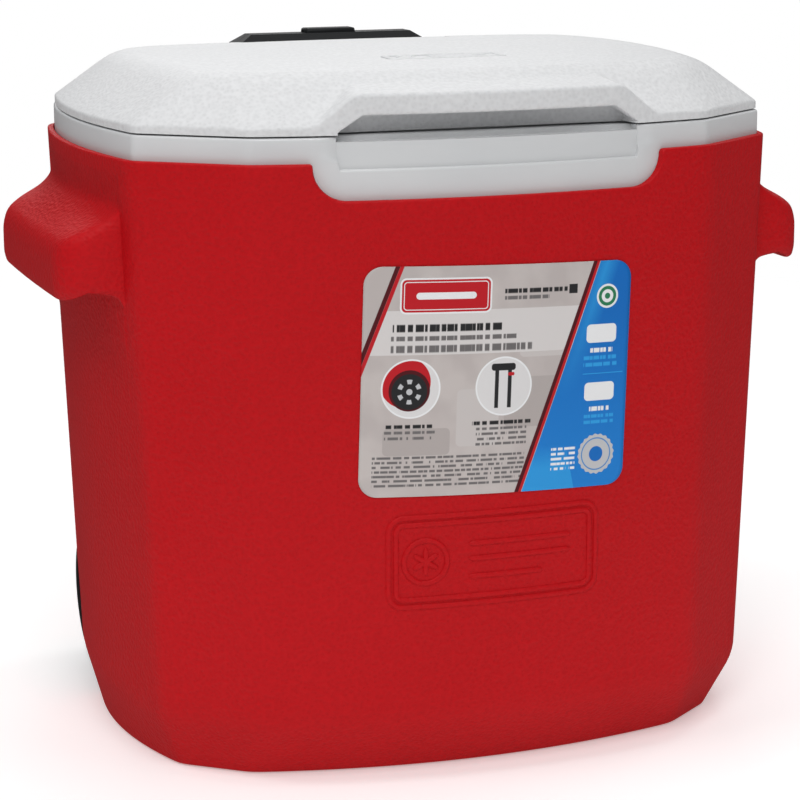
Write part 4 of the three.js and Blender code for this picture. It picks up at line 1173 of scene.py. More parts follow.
    def build(self) -> None:
        """Makes the shell's one piece."""
        piece = Piece("shell_moulding").grid(mirrored(self.skin()))
        settle(piece.build(), Body.ROOT, "shell_red", self.finish, "outer_shell")


# ---------------------------------------------------------------- inner liner


@dataclass
class InnerLiner:
    """The white liner: outer band with its finger recess, rim, and the cavity."""

    finish: bpy.types.Material
    wall: float = 2.2
    skirt_z: float = 345.0
    recess_half: float = 92.3
    recess_z: float = RIM_Z - 18.5
    recess_in: float = 15.0
    recess_plane: float = -151.2
    floor_z: float = 38.0
    draft: float = 0.035

    def cavity(self, z: float, wall: float) -> Form:
        """The cavity's outline at a height, grown by a wall."""
        inset = RIM_WIDTH + self.draft * (RIM_Z - z)
        return Form(wall - inset, RIM_WIDTH + SHELL_STEP - wall, True, 18.0, 7.0)

    def top_places(self) -> tuple[Array, int, int]:
        """The columns' places at the rim, and the first and last that fan over an arch."""
        k = PLAN.knots
        mid = (k[2] + k[3]) / 2
        q = through(
            0,
            (86, 0, 9, 0),
            (self.recess_half, 1.3, 5, 8),
            (k[1], 14, 6, 16),
            (k[2], 12, 6, 14),
            (mid, 0, 14, 0),
            (k[3], 12, 28, 14),
            (k[4], 14, 6, 19),
            (k[5], 10, 6, 12),
            (k[6], 10, 4, 12),
            (k[7], 0, 8, 0),
        )
        first = int(np.argmin(np.abs(q - mid)))
        return q, first, first + FAN

    def basin(self, q: Array, first: int, last: int, wall: float) -> list[Array]:
        """The rails of the cavity's wall from its floor up to the rim.

        Args:
            q: the columns' places at the rim.
            first: the first column that fans over an arch.
            last: the last one.
            wall: 0 for the cavity's own face, or the wall's thickness for the hidden face.

        Returns:
            A, B and C, and the rows above them.
        """
        form = self.cavity(60.0, wall)
        margin = RIM_WIDTH - wall
        base_z = self.floor_z - wall
        arch = Arch(WELL_R + margin, WELL_INNER_X - margin, base_z, tail=4.0)
        walls = Walls(q, first, last, arch, form)
        a, b, c, foot_q = walls.feet()
        return [a, b, c, walls.rows(foot_q, c[:, 2] + 5, RIM_Z, np.linspace(0, 1, 12))]

    def skin(self) -> Array:
        """All rows of the closed liner: under the basin, skirt, band, rim, cavity, floor."""
        q, first, last = self.top_places()
        x = PLAN.at(q, RIM_Z, Form(bend=5.0))[0]
        recess = np.where(q < PLAN.knots[1], ease((self.recess_half + 1.3 - x) / 2.6), 0.0)
        band = Form(0.0, SHELL_STEP, True, 5.0)

        def rail(z: float, form: Form) -> Array:
            """One level rail."""
            return PLAN.rail(q, z, form)

        def dent(z: float, z_plain: float, depth: float) -> Array:
            """A rail of the band that lies in the recess across the front."""
            line = rail(RIM_Z, band)
            back = np.minimum(line[:, 1] + depth, self.recess_plane)
            line[:, 1] += (back - line[:, 1]) * recess
            line[:, 2] = z * recess + z_plain * (1 - recess)
            return line

        a, b, c, rows = self.basin(q, first, last, self.wall)
        under = RIM_Z - 3.0
        low_cap = a * np.array([0.9, 0.9, 1.0])
        outside = [low_cap, a, b, c, *[r * np.array([1, 1, under / RIM_Z]) for r in rows[1::3]]]
        skirt = Form(-3.0, SHELL_STEP + 3.0, True, 5.0)
        outside += [rail(under, self.cavity(under, self.wall)), rail(under, skirt)]
        hidden = np.stack(outside + [rail(self.skirt_z, skirt)])
        depth = self.recess_in
        inner = self.cavity(RIM_Z, 0.0)
        shown = rounded(
            [
                rail(self.skirt_z, skirt),
                rail(self.skirt_z, band),
                dent(self.recess_z, RIM_Z - 12, 0.0),
                dent(self.recess_z + 0.8, RIM_Z - 8, depth),
                dent(RIM_Z, RIM_Z, depth),
                rail(RIM_Z, inner),
                rail(RIM_Z - 8, self.cavity(RIM_Z - 8, 0.0)),
            ],
            [0, 0.8, 1.6, 3.0, 1.8, 3.5, 0],
            5,
        )[1:]
        a, b, c, rows = self.basin(q, first, last, 0.0)
        down = rows[-2:0:-1]
        foot = a * np.array([0.82, 0.82, 1.0])
        pit = rounded([rows[0], c, b, a, foot], [0, 4.0, 8.0, 10.0, 0], 5)
        return np.concatenate([hidden[:-1], shown, down, pit])

    def build(self) -> None:
        """Makes the liner's one piece."""
        piece = Piece("liner_moulding").grid(mirrored(self.skin()))
        settle(piece.build(), Body.ROOT, "liner_white", self.finish, "inner_liner")


# ---------------------------------------------------------------- lid


@dataclass
class Lid:
    """The white lid: sloping facets under a low crown, a brow over a finger pocket, a notch."""

    top_finish: bpy.types.Material
    pan_finish: bpy.types.Material
    foot_z: float = 387.0
    edge_z: float = 391.5
    set_in: float = 0.8
    notch: float = 10.0
    wall: float = 2.6
    brow_low: float = 107.0
    brow_high: float = 83.0
    brow_z: float = 410.0
    pocket_low: float = 92.3
    pocket_high: float = 77.5
    pocket_z: float = 398.0
    pocket_in: float = 24.0
    ring_inset: float = 92.0
    pad_x: float = 112.0
    pad_half: float = 19.0
    pad_z: float = 403.0
    pad_front: float = 135.2
    pad_lean: float = 5.0
    crown_z: float = 422.6
    front_slope: float = 0.86
    corner_slope: float = 1.0
    end_slope: float = 0.70
    rear_corner_slope: float = 0.9
    rear_slope: float = 0.85

    def height(self, x: Array, y: Array) -> Array:
        """The height of the lid's top over a place.

        Each edge of the outline carries a plane that rises with the distance from that edge,
        and the crown is a low dome. The top is the lowest of them, rounded where they meet, and
        the brow, whose ends fall away sideways, stands on the front slope. Two flat pads stand
        on the back slope for the hinges.

        Args:
            x: places across.
            y: places front to back.

        Returns:
            The heights.
        """
        x = np.abs(x)
        half = HALF_WIDTH - END_BOW - CORNER_X
        front_y = -FRONT_DEPTH + FRONT_BOW * (x / half) ** 2
        lean = 2 * FRONT_BOW * x / half**2
        front = (y - front_y) / np.sqrt(1 + lean**2)
        end_y = (REAR_DEPTH - FRONT_DEPTH + FRONT_BOW) / 2
        end_half = (REAR_DEPTH + FRONT_DEPTH - FRONT_BOW - 2 * CORNER_Y) / 2
        end = HALF_WIDTH - END_BOW * ((y - end_y) / end_half) ** 2 - x
        facet = math.hypot(CORNER_X, CORNER_Y)
        nx, ny = CORNER_Y / facet, CORNER_X / facet
        corner = nx * half + ny * (FRONT_DEPTH - FRONT_BOW) - nx * x + ny * y
        rear_corner = nx * half + ny * REAR_DEPTH - nx * x - ny * y
        crown = self.crown_z - 1.3 * (x / 170) ** 2 - 2.4 * (y / 130) ** 2
        base = self.edge_z - 0.6
        brow = self.brow_z + 0.16 * front
        side = base + (self.brow_low - x) * (self.brow_z - base) / (self.brow_low - self.brow_high)
        brow = soft_min(brow, side, 3.0)
        slope = soft_max(base + self.front_slope * front, brow, 3.0)
        top = soft_min(slope, base + self.corner_slope * corner, 5.0)
        top = soft_min(top, base + self.end_slope * end, 4.0)
        top = soft_min(top, base + self.rear_corner_slope * rear_corner, 5.0)
        top = soft_min(top, base + self.rear_slope * (REAR_DEPTH - y), 5.0)
        pad = base + self.pad_lean * (self.pad_half - np.abs(x - self.pad_x))
        pad = np.minimum(soft_min(pad, self.pad_z, 1.0), base + 3.0 * (y - self.pad_front))
        return soft_max(soft_min(top, crown, 8.0), pad, 1.5)

    def places(self) -> Array:
        """The columns' places round the lid."""
        k = PLAN.knots
        return through(
            0,
            (self.pocket_high - 3, 0, 14, 0),
            (self.pocket_low + 3, 0, 24, 0),
            (self.brow_low + 4, 0, 12, 0),
            (k[1], 12, 5, 14),
            (k[2], 10, 12, 12),
            (k[3], 10, 40, 12),
            (k[4], 12, 10, 18),
            (k[5], 5, 44, 8),
            (k[6], 5, 12, 8),
            (k[7], 0, 16, 0),
        )

    def skin(self, inset: float) -> Array:
        """Rows from the foot of the lid's edge to the ring that closes its crown.

        Over the top the rows run in plan from the edge to an inner ring, and take their height
        from the height formula.

        Args:
            inset: 0 for the outside, or the wall's thickness for the inside.

        Returns:
            The rows.
        """
        q = self.places()
        edge = Form(-self.set_in - inset, self.notch + inset, True, 8.0, 3.0)
        ex, ey = PLAN.at(q, RIM_Z, edge)
        front = q < PLAN.knots[1]
        x = np.abs(ex)
        run = (self.pocket_low + inset - x) / (self.pocket_low - self.pocket_high)
        rise = np.where(front, np.clip(run, 0, 1), 0.0)
        ceiling = self.foot_z + 1.2 + (self.pocket_z + inset - self.foot_z - 1.2) * rise
        deep = np.where(front, ease((self.pocket_low + inset - x) / 4.0), 0.0)
        back_y = ey + (self.pocket_in + inset - FRONT_DEPTH - ey) * deep
        foot = self.foot_z
        top_z = np.maximum(self.height(ex, ey) - inset, foot + 3.2)
        wide = Form(-self.ring_inset - inset, 0.0, False, 8.0, 3.0)
        rx, ry = PLAN.at(q, RIM_Z, wide)
        shares = np.concatenate([[0.0], np.linspace(0.06, 0.5, 24), np.linspace(0.5, 1, 12)[1:]])
        px = ex + (rx - ex) * shares[:, None]
        py = ey + (ry - ey) * shares[:, None]
        roof = stack(px, py, self.height(px, py) - inset)
        lip = np.minimum(ceiling, top_z - 1.5)
        rails = [
            stack(ex, back_y, foot),
            stack(ex, back_y, np.maximum(lip, foot + 0.8)),
            stack(ex, ey, np.maximum(lip, foot + 1.6)),
            stack(ex, ey, top_z),
            roof[1],
        ]
        edge_rows = rounded(rails, [0, 4.0, 1.8, 2.4, 0], 6)
        return np.concatenate([edge_rows, roof[2:]])

    def pan(self) -> Array:
        """Rows of the lid's underside: plug face, plug wall, plate, and the hidden top."""
        q = self.places()
        x = PLAN.at(q, RIM_Z, Form())[0]
        deep = np.where(q < PLAN.knots[1], ease((self.pocket_low + 3 - x) / 4.0), 0.0)
        gap = self.set_in + self.wall + 0.3
        plate = Form(-gap, self.notch + self.wall + 0.3, True, 8.0, 3.0)
        plug = Form(-RIM_WIDTH - 3.0, self.notch + RIM_WIDTH, True, 14.0, 6.0)
        face = Form(-RIM_WIDTH - 15.0, self.notch + RIM_WIDTH + 12, True, 14.0, 6.0)

        def rail(form: Form, z: float, dent: bool = False) -> Array:
            """A level rail, moved back behind the pocket if dent is set."""
            line = PLAN.rail(q, RIM_Z, form)
            if dent:
                line[:, 1] += (self.pocket_in + self.wall + 0.3 - FRONT_DEPTH - line[:, 1]) * deep
            line[:, 2] = z
            return line

        rails = [
            rail(face, 375.0),
            rail(plug, 375.0),
            rail(plug, 387.2),
            rail(plate, 387.2, True),
            rail(plate, 389.4, True),
            rail(face, 389.4),
        ]
        return rounded(rails, [0, 5.0, 3.0, 0.5, 0.5, 0], 5)

    def build(self) -> None:
        """Makes the lid's top and its pan."""
        inside = self.skin(self.wall)[::-1][::2]
        outside = self.skin(0.0)
        rows = np.concatenate([inside, outside])
        piece = Piece("lid_moulding").grid(mirrored(rows))
        settle(piece.build(32.0), Body.LID, "lid_white", self.top_finish, "lid_outer")
        pan = Piece("lid_underside").grid(mirrored(self.pan()))
        settle(pan.build(), Body.LID, "lid_white", self.pan_finish, "lid_pan")


# ---------------------------------------------------------------- wheels, handle, hardware


def seat(node: str) -> tuple[Array, Array]:
    """A CAD node's box in plan millimetres: its low and high corner."""
    low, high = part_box(node)
    shift = np.array([0.0, PLAN_SHIFT, 0.0])
    return np.array(low) / MM - shift, np.array(high) / MM - shift


def straight(piece: Piece, node: str, axis: int, edge: float, count: int = 64) -> Piece:
    """Adds a round bar that fills a CAD node's box along an axis.

    Args:
        piece: the piece to add it to.
        node: the CAD node.
        axis: 0 for X, 1 for Y, 2 for Z.
        edge: the radius of the rounded edges.
        count: points round.

    Returns:
        The piece.
    """
    low, high = seat(node)
    radius = (high - low)[(axis + 1) % 3] / 2
    centre = (low + high) / 2
    centre[axis] = 0.0
    corners = [(0.02, low[axis], 0), (radius, low[axis], edge)]
    corners += [(radius, high[axis], edge), (0.02, high[axis], 0)]
    return piece.grid(turned(eased_profile(corners), centre, axis, count))


@dataclass
class WheelSet:
    """A wheel with a hollow tread, a dished web with round holes and a hub, on its axle."""

    side: Side
    rubber: bpy.types.Material
    cap_finish: bpy.types.Material
    steel: bpy.types.Material
    hub: float = 14.0
    rim: float = 40.0
    web: float = 7.0
    dish: float = 4.0
    bore: float = 5.3
    hole: float = 7.0
    hole_pitch: float = 27.0
    holes: int = 5
    arc_steps: int = 16
    side_steps: int = 6
    groove: float = 0.9

    def rows(self, corners: list[tuple[float, float, float]], centre: Array) -> Array:
        """A closed profile turned about the axle; places along it grow away from the chest."""
        profile = eased_profile([(r, a * self.side.value, c) for r, a, c in corners])
        return turned(profile, centre, 0, self.holes * self.arc_steps)

    def sector(self, number: int, faces: tuple[float, float], centre: Array) -> Array:
        """One hole's share of the web: two faces round the hole, and the hole's wall.

        The sector's edge runs along the rim's arc, down a radius, back along the hub's arc and
        up the other radius; each of its points has a partner on the hole's circle.

        Args:
            number: which sector, from 0.
            faces: how far out the inner and the outer face lie.
            centre: the wheel's centre.

        Returns:
            Four rows, from the inner face's edge through the hole to the outer face's edge.
        """
        half = math.pi / self.holes
        ahead = np.linspace(-half, half, self.arc_steps, endpoint=False)
        inward = np.linspace(self.rim, self.hub, self.side_steps, endpoint=False)
        radius = np.concatenate(
            [np.full(self.arc_steps, self.rim), inward, np.full(self.arc_steps, self.hub)]
            + [inward[::-1] - (self.rim - self.hub) / self.side_steps]
        )
        angle = np.concatenate(
            [ahead, np.full(self.side_steps, half), -ahead, np.full(self.side_steps, -half)]
        )
        edge = np.stack([radius * np.cos(angle), radius * np.sin(angle)], axis=1)
        middle = np.array([self.hole_pitch, 0.0])
        away = edge - middle
        circle = middle + away * (self.hole / np.linalg.norm(away, axis=1))[:, None]
        turn = 2 * half * number + half
        spin = np.array([[math.cos(turn), math.sin(turn)], [-math.sin(turn), math.cos(turn)]])
        edge, circle = edge @ spin, circle @ spin
        inner, outer = (f * self.side.value for f in faces)
        lines = [(edge, inner), (circle, inner), (circle, outer), (edge, outer)]
        rows = np.stack([stack(along, flat[:, 0], flat[:, 1]) for flat, along in lines])
        return rows + centre

    def build(self) -> None:
        """Makes the wheel, its axle, washer and cap."""
        word = self.side.word
        low, high = seat(f"wheel_{word}")
        centre, half = (low + high) / 2, (high - low)[0] / 2
        radius = (high - low)[2] / 2
        outer, inner = half - self.dish, half - self.dish - self.web
        groove = radius - self.groove

        def cut(at: float) -> list[tuple[float, float, float]]:
            """The corners of one groove round the tread."""
            dip = [(groove, at - 0.8, 0.4), (groove, at + 0.8, 0.4)]
            return [(radius, at - 1.5, 0.4), *dip, (radius, at + 1.5, 0.4)]

        tread = [(self.rim, inner, 0), (self.rim, -half, 1.0), (radius - 2.5, -half, 1.5)]
        tread += [(radius, 4 - half, 2.5), *cut(-half / 3), *cut(half / 3)]
        tread += [(radius, half - 4, 2.5), (radius - 2.5, half, 1.5)]
        tread += [(self.rim, half, 1.0), (self.rim, outer, 0)]
        hub = [(self.hub, outer, 0), (self.hub, half, 1.5), (self.bore, half, 0.5)]
        hub += [(self.bore, -half, 0.5), (self.hub, -half, 1.5), (self.hub, inner, 0)]
        piece = Piece(f"wheel_{word}_moulding")
        piece.grid(self.rows(tread, centre), True, False)
        piece.grid(self.rows(hub, centre), True, False)
        for number in range(self.holes):
            piece.grid(self.sector(number, (inner, outer), centre), True, False)
        body = Body[f"WHEEL_{self.side.name}"]
        wheel = piece.build(weld=0.02, recalculate=True)
        settle(wheel, body, "wheel_black", self.rubber, f"wheel_{word}")
        for part, edge, finish, slot in (
            ("axle", 0.8, self.steel, "steel"),
            ("axle_washer", 0.3, self.steel, "steel"),
            ("axle_cap", 1.6, self.cap_finish, "bracket_black"),
        ):
            node = f"{part}_{word}"
            turned_piece = straight(Piece(f"{node}_turned"), node, 0, edge)
            settle(turned_piece.build(), Body.ROOT, slot, finish, node)


@dataclass
class PullHandle:
    """The telescoping handle: three tubes a side, brackets, bridge, grip and button."""

    tube_finish: bpy.types.Material
    bracket_finish: bpy.types.Material
    grip_finish: bpy.types.Material
    steel: bpy.types.Material
    wall: float = 1.2
    lip: float = 0.5
    grip_round: float = 2.2
    bracket_round: float = 0.9

    def pipe(self, node: str) -> Piece:
        """A tube with both ends rounded, filling a CAD node's box."""
        low, high = seat(node)
        radius = (high - low)[0] / 2
        bore, middle = radius - self.wall, (low[2] + high[2]) / 2
        corners = [(bore, middle, 0), (bore, low[2], self.lip), (radius, low[2], self.lip)]
        corners += [(radius, high[2], self.lip), (bore, high[2], self.lip), (bore, middle, 0)]
        centre = (low + high) / 2 * np.array([1, 1, 0])
        rows = turned(eased_profile(corners), centre, 2, 48)
        return Piece(f"{node}_drawn").grid(rows, True, False)

    def build(self) -> None:
        """Makes every piece of the handle that shows."""
        for side in Side:
            for part, body in (
                ("outer_tube", Body.ROOT),
                ("middle_tube", Body.MIDDLE),
                ("inner_tube", Body.UPPER),
            ):
                node = f"{part}_{side.word}"
                settle(self.pipe(node).build(), body, "tube_black", self.tube_finish, node)
            rod = f"lock_rod_{side.word}"
            piece = straight(Piece(f"{rod}_turned"), rod, 2, 0.5, 32)
            settle(piece.build(), Body.BUTTON, "steel", self.steel, rod)
        bracket, grip = self.bracket_finish, self.grip_finish
        for node, body, slot, finish, width in (
            ("handle_top_bracket", Body.ROOT, "bracket_black", bracket, self.bracket_round),
            ("handle_foot_bracket", Body.ROOT, "bracket_black", bracket, self.bracket_round),
            ("middle_tube_bridge", Body.MIDDLE, "bracket_black", bracket, 1.6),
            ("grip_front_half", Body.UPPER, "grip_black", grip, self.grip_round),
            ("grip_rear_half", Body.UPPER, "grip_black", grip, self.grip_round),
            ("release_button", Body.BUTTON, "grip_black", grip, 1.6),
        ):
            settle(bevelled_copy(node, width), body, slot, finish, node)


@dataclass
class Screw:
    """A pan-head screw with a crossed recess, looking backwards."""

    node: str
    body: Body
    steel: bpy.types.Material
    head: float = 3.4
    shank: float = 1.8
    seat_depth: float = 1.7
    recess: float = 1.2
    arm: float = 0.55

    def build(self) -> None:
        """Makes the screw: a shank, and a domed head whose middle dips in a cross.

        The head's height over radius r is half its depth times 1 - (r/R)^2, less the recess
        within an arm's half width of either axis.
        """
        low, high = seat(self.node)
        centre = (low + high) / 2
        count = 48
        angle = np.arange(count) * (2 * math.pi / count)
        radii = np.array([self.shank, self.shank, self.head, self.head, 3.0, 2.3, 1.6, 0.9, 0.05])
        rise = self.seat_depth * (1 - (radii / self.head) ** 2) * 0.5
        along = high[1] - self.seat_depth + rise
        along[0], along[1], along[2] = low[1], high[1] - 1.6, high[1] - 1.6
        arm = np.minimum(np.abs(np.cos(angle)), np.abs(np.sin(angle))) * radii[:, None]
        dip = np.where(radii[:, None] < 2.4, ease((self.arm - arm) / 0.3), 0.0)
        dip[:2] = 0.0
        rows = stack(
            centre[0] + radii[:, None] * np.sin(angle),
            along[:, None] - dip * self.recess,
            centre[2] + radii[:, None] * np.cos(angle),
        )
        piece = Piece(f"{self.node}_turned").grid(rows)
        settle(piece.build(), self.body, "steel", self.steel, self.node)


@dataclass
class Hinge:
    """One lid hinge: two leaves, a pin and four screws."""

    side: Side
    grey: bpy.types.Material
    steel: bpy.types.Material
    edge: float = 0.45

    def build(self) -> None:
        """Makes the leaves, the pin and the screws."""
        word = self.side.word
        for part, body in (("body", Body.ROOT), ("lid", Body.LID)):
            node = f"hinge_{part}_leaf_{word}"
            settle(bevelled_copy(node, self.edge), body, "hinge_grey", self.grey, node)
            for number in (1, 2):
                Screw(f"hinge_{part}_screw_{word}_{number}", body, self.steel).build()
        pin = f"hinge_pin_{word}"
        piece = straight(Piece(f"{pin}_turned"), pin, 0, 0.5, 32)
        settle(piece.build(), Body.ROOT, "steel", self.steel, pin)


# ---------------------------------------------------------------- raised marks


def front_wall(x: Array, z: Array, grow: float) -> Array:
    """The place y of the shell's front over x and z, with the outline grown by a distance."""
    form = Form(grow=grow, bend=14.0)
    q = PLAN.find(0, x, z, -130.0, 130.0, form)
    return PLAN.at(q, z, form)[1]


@dataclass
class Mark:
    """A raised plain mark that stands on a surface: a double frame, a star in a ring, bars."""

    name: str
    centre: tuple[float, float]
    size: tuple[float, float]
    lift: float
    wide: float
    corner: float

    def frame(self, inset: float, steps: int = 40) -> tuple[Array, Array]:
        """A rounded rectangle, anticlockwise, at even steps.

        Args:
            inset: how far it lies inside the mark's edge.
            steps: a sixth of the number of points.

        Returns:
            The points' a and b, across and up the surface.
        """
        half_a, half_b = self.size[0] / 2 - inset, self.size[1] / 2 - inset
        r = max(self.corner - inset, 0.5)
        turn = np.linspace(0, math.pi / 2, 9)
        lines = []
        for number, (sa, sb) in enumerate(((1, 1), (-1, 1), (-1, -1), (1, -1))):
            angle = turn + number * math.pi / 2
            a = sa * (half_a - r) + r * np.cos(angle)
            b = sb * (half_b - r) + r * np.sin(angle)
            lines.append(np.stack([a, b], axis=1))
        loop = np.concatenate(lines)
        loop = np.concatenate([loop, loop[:1]])
        length = np.concatenate([[0], np.cumsum(np.linalg.norm(np.diff(loop, axis=0), axis=1))])
        at = np.linspace(0, length[-1], steps * 6, endpoint=False)
        return np.interp(at, length, loop[:, 0]), np.interp(at, length, loop[:, 1])

    def bead(self, a: Array, b: Array, closed: bool = True) -> tuple[Array, Array, Array]:
        """A bead along a path: half a flattened circle across it, with tapered open ends.

        Args:
            a: the path across the surface.
            b: the path up the surface.
            closed: whether the path ends where it starts.

        Returns:
            a, b and the height above the surface, each (11, n).
        """
        da = np.roll(a, -1) - np.roll(a, 1) if closed else np.gradient(a)
        db = np.roll(b, -1) - np.roll(b, 1) if closed else np.gradient(b)
        length = np.hypot(da, db)
        na, nb = db / length, -da / length
        t = np.linspace(0, math.pi, 9)[:, None]
        width = np.full(a.shape, self.wide)
        if not closed:
            run = np.linspace(0, 1, len(a))
            taper = np.clip(np.minimum(run, 1 - run) * length.sum() / 2 / self.wide, 0.02, 1)
            width = self.wide * np.sqrt(1 - (1 - taper) ** 2)
        across = np.cos(t) * width
        height = np.sin(t) * self.lift * np.clip(width / self.wide, 0.05, 1)
        low = -np.ones((1, len(a))) * 0.6
        height = np.concatenate([low, height, low])
        across = np.concatenate([across[:1], across, across[-1:]])
        return a + across * na, b + across * nb, height

    def paths(self) -> list[tuple[Array, Array, bool]]:
        """Every bead's path: two frames, a ring, three star arms and three bars."""
        w, h = self.size
        star = (-w * 0.33, 0.0)
        radius = h * 0.24
        turn = np.linspace(0, 2 * math.pi, 60, endpoint=False)
        ring = (star[0] + radius * np.cos(turn), radius * np.sin(turn), True)
        paths = [(*self.frame(0.0), True), (*self.frame(self.wide * 2.6), True), ring]
        for number in range(3):
            angle = math.pi / 6 + number * math.pi / 3
            run = np.linspace(-1, 1, 24) * radius * 0.66
            paths.append((star[0] + run * math.cos(angle), run * math.sin(angle), False))
        for share, length in ((0.17, 0.5), (0.0, 0.5), (-0.2, 0.36)):
            run = np.linspace(-w * 0.13, -w * 0.13 + w * length, 40)
            paths.append((run, np.full(40, h * share), False))
        return paths

    def build(
        self,
        surface: Callable[[Array, Array, Array], Array],
        body: Body,
        slot: str,
        finish: bpy.types.Material,
    ) -> None:
        """Makes the mark on a surface.

        Args:
            surface: turns arrays (across, up, height above the surface) into points.
            body: what the mark rides on.
            slot: its material slot.
            finish: its material.
        """
        piece = Piece(self.name)
        for a, b, closed in self.paths():
            pa, pb, height = self.bead(a, b, closed)
            rows = surface(pa + self.centre[0], pb + self.centre[1], height)
            if closed:
                piece.loop(rows)
            else:
                piece.grid(rows.transpose(1, 0, 2)[::-1], True, True)
        settle(piece.build(60.0, recalculate=True), body, slot, finish)


# ---------------------------------------------------------------- label


class Press:
    """The label's printed face: masks by place on it, and inks laid one over another.

    A place (u, v) is a share of the label's width from its left and of its height from its top;
    sizes are in millimetres.
    """

    def __init__(self, paper: Colour, fleck: Colour) -> None:
        """Starts a sheet of faintly mottled paper."""
        self.book = Book("label_print")
        uv = Wire(self.book, self.book.coordinates.outputs["UV"])
        across = self.book.node("ShaderNodeSeparateXYZ", {}, {0: uv})
        self.x = across * LABEL_WIDTH
        self.y = (1.0 - across.beside(1)) * LABEL_HEIGHT
        mottle = self.book.noise(40.0, 2.0).spread(0.4, 0.6)
        self.tone = self.book.mix(paper, fleck, mottle)

    def block(self, u: float, v: float, wide: float, high: float, corner: float = 0.0) -> Wire:
        """A mask of a rectangle round a place, with round corners."""
        dx = (self.x - u * LABEL_WIDTH).size() - (wide / 2 - corner)
        dy = (self.y - v * LABEL_HEIGHT).size() - (high / 2 - corner)
        if not corner:
            return dx.most(dy).below(0.0)
        away = (dx.most(0.0) ** 2 + dy.most(0.0) ** 2) ** 0.5
        return away.below(corner)

    def distance(self, u: float, v: float) -> Wire:
        """The distance from a place."""
        return ((self.x - u * LABEL_WIDTH) ** 2 + (self.y - v * LABEL_HEIGHT) ** 2) ** 0.5

    def bearing(self, u: float, v: float) -> Wire:
        """The direction from a place, in radians."""
        return (self.y - v * LABEL_HEIGHT).bearing(self.x - u * LABEL_WIDTH)

    def disc(self, u: float, v: float, radius: float) -> Wire:
        """A mask of a disc."""
        return self.distance(u, v).below(radius)

    def ring(self, u: float, v: float, radius: float, half: float) -> Wire:
        """A mask of a ring, half as wide as given on each side of its radius."""
        return (self.distance(u, v) - radius).size().below(half)

    def bars(self, u0: float, u1: float, v0: float, v1: float, rows: int, fill: float) -> Wire:
        """A mask of rows of short dashes.

        Args:
            u0: the left edge.
            u1: the right edge.
            v0: the top edge.
            v1: the lower edge.
            rows: how many rows.
            fill: the dashes' height as a share of a row's.

        Returns:
            The mask.
        """
        pitch = (v1 - v0) * LABEL_HEIGHT / rows
        row = (self.y - v0 * LABEL_HEIGHT) / pitch
        lane = {0: self.x * 0.45, 1: row.whole() * 7.3}
        point = self.book.node("ShaderNodeCombineXYZ", {}, lane)
        values = {"Vector": point, "Scale": 1.0, "Detail": 1.0}
        dashes = self.book.node("ShaderNodeTexNoise", {"noise_dimensions": "2D"}, values)
        line = (row.fraction() - 0.5).size().below(fill / 2, 0.08)
        area = self.block((u0 + u1) / 2, (v0 + v1) / 2, (u1 - u0) * LABEL_WIDTH, pitch * rows)
        return line * area * dashes.spread(0.40, 0.44)

    def leaning(self, u_top: float, u_foot: float) -> Wire:
        """How far a point lies to the right of a slanting line."""
        run = (u_foot - u_top) * LABEL_WIDTH
        return self.x - (u_top * LABEL_WIDTH + run * self.y / LABEL_HEIGHT)

    def lay(self, ink: Wire | Colour, *masks: Wire) -> None:
        """Lays an ink over what is printed, through each mask in turn."""
        for mask in masks:
            self.tone = self.book.mix(self.tone, ink, mask)

    def lines(self, *runs: tuple) -> None:
        """Prints rows of dashes: an ink, and then what bars takes, for each run."""
        for ink, *place in runs:
            self.lay(ink, self.bars(*place))


